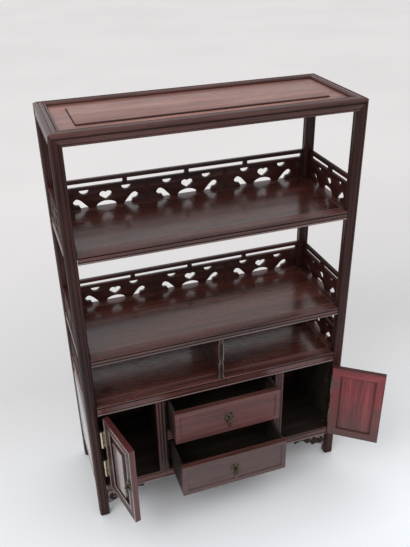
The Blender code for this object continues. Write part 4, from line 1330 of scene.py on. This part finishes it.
def drawer(name, field):
    shut = CENTRE + Vector((0.0, joint_of(name)["range_m"][0], 0.0))
    place = Matrix.Translation(shut)
    low, high = (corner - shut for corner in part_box(f"{name}_front"))
    outline = rectangle(low.x, low.z, high.x, high.z)
    floor = DRAWER_BORDER + DRAWER_SINK
    profile = [(0.0, DRAWER_FRONT), (0.0, DRAWER_EDGE), (DRAWER_EDGE, 0.0), (DRAWER_BORDER, 0.0)]
    profile += bulge((DRAWER_BORDER, DRAWER_EDGE), (floor, DRAWER_SINK), -DRAWER_EDGE / 2)
    profile += [(floor, DRAWER_SINK)]
    rows = [along_y(inset(outline, edge), FRONT_Y + depth) for edge, depth in profile]
    built = solid(rows, finish=lambda row, column: 1 if row < 2 else 0)
    show(f"{name}_front", built, [field, RIM["X"]], place)
    # the drawer's sides, back and bottom get painted shade
    for part in ("left_side", "right_side", "back", "bottom"):
        start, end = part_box(f"{name}_{part}")
        show_board(f"{name}_{part}", start - shut, end - shut, SHADE, place)
    pull(name, place, (0.0, FRONT_Y + DRAWER_SINK, (low.z + high.z) / 2))


# Floor, light and camera


def stage():
    """A wide pale floor with painted light and shadow over its depth, under a pale sky that is brightest
    overhead, and a soft lamp on each side.
    """
    made, tree, shader = surface("floor_painted_light")
    place = node(tree, "ShaderNodeTexCoord").outputs["Object"]
    depth = node(tree, "ShaderNodeSeparateXYZ", {0: place}).outputs["Y"]
    tone = ramp(tree, between(tree, depth, FLOOR_DEPTH), FLOOR_PAINTED_LIGHT)
    clouds = ramp(tree, noise(tree, place, *FLOOR_CLOUDS), FLOOR_CLOUD_STOPS)
    tree.links.new(mixed(tree, "MULTIPLY", 1.0, tone, clouds), shader.inputs["Base Color"])
    shader.inputs["Roughness"].default_value = FLOOR_ROUGHNESS
    shader.inputs["Specular IOR Level"].default_value = FLOOR_SHINE
    built = bmesh.new()
    corners = rectangle(-FLOOR_REACH, -FLOOR_REACH, FLOOR_REACH, FLOOR_REACH)
    built.faces.new([built.verts.new(p) for p in along_z(corners, 0.0)])
    floor = shaped("floor", built, [made])

    world = bpy.data.worlds.new("sky")
    bpy.context.scene.world = world
    world.use_nodes = True
    tree = world.node_tree
    path = node(tree, "ShaderNodeLightPath").outputs
    seen = path["Is Camera Ray"]
    for kind in ("Is Glossy Ray", "Is Transmission Ray"):
        seen = node(tree, "ShaderNodeMath", {0: seen, 1: path[kind]}, operation="ADD").outputs[0]
    sockets = {0: node(tree, "ShaderNodeTexCoord").outputs["Generated"], 1: BRIGHT_SIDE}
    side = node(tree, "ShaderNodeVectorMath", sockets, operation="DOT_PRODUCT").outputs["Value"]
    light, view = (between(tree, side, SKY_SPAN, strengths) for strengths in (SKY_LIGHT, SKY_SEEN))
    strength = node(tree, "ShaderNodeMix", {0: seen, 2: light, 3: view}).outputs[0]
    back = tree.nodes["Background"]
    back.inputs["Color"].default_value = opaque(SKY_TINT)
    tree.links.new(strength, back.inputs["Strength"])

    for name, at, power, size, colour in LAMPS:
        lamp = bpy.data.lights.new(name, "AREA")
        lamp.shape = "DISK"
        lamp.energy = power
        lamp.size = size
        lamp.color = colour
        holder = placed(name, lamp)
        holder.location = CENTRE + Vector(at)
        aim = CENTRE + LAMP_AIM - holder.location
        holder.rotation_euler = aim.to_track_quat("-Z", "Y").to_euler()


def camera():
    lens = bpy.data.cameras.new("camera")
    lens.lens = CAMERA_LENS
    lens.sensor_width = CAMERA_SENSOR
    lens.sensor_fit = "AUTO"
    lens.clip_start = CAMERA_NEAR
    held = placed("camera", lens)
    turn = (CAMERA_AIM - CAMERA_AT).to_track_quat("-Z", "Y").to_matrix().to_4x4()
    held.matrix_world = Matrix.Translation(CENTRE + CAMERA_AT) @ turn @ Matrix.Rotation(-CAMERA_ROLL, 4, "Z")
    bpy.context.scene.camera = held


posts()
top()
shelves()
galleries()
niche_divider()
partitions()
drawer_divider()
cabinet_panels()
brackets()
door("left_door", -1, BRASS)
door("right_door", 1, SHADED_OLD_BRASS)
drawer("upper_drawer", DRAWER["X"])
drawer("lower_drawer", REFLECTING_FRONT)
stage()
camera()
bpy.context.scene.view_settings.view_transform = "Standard"
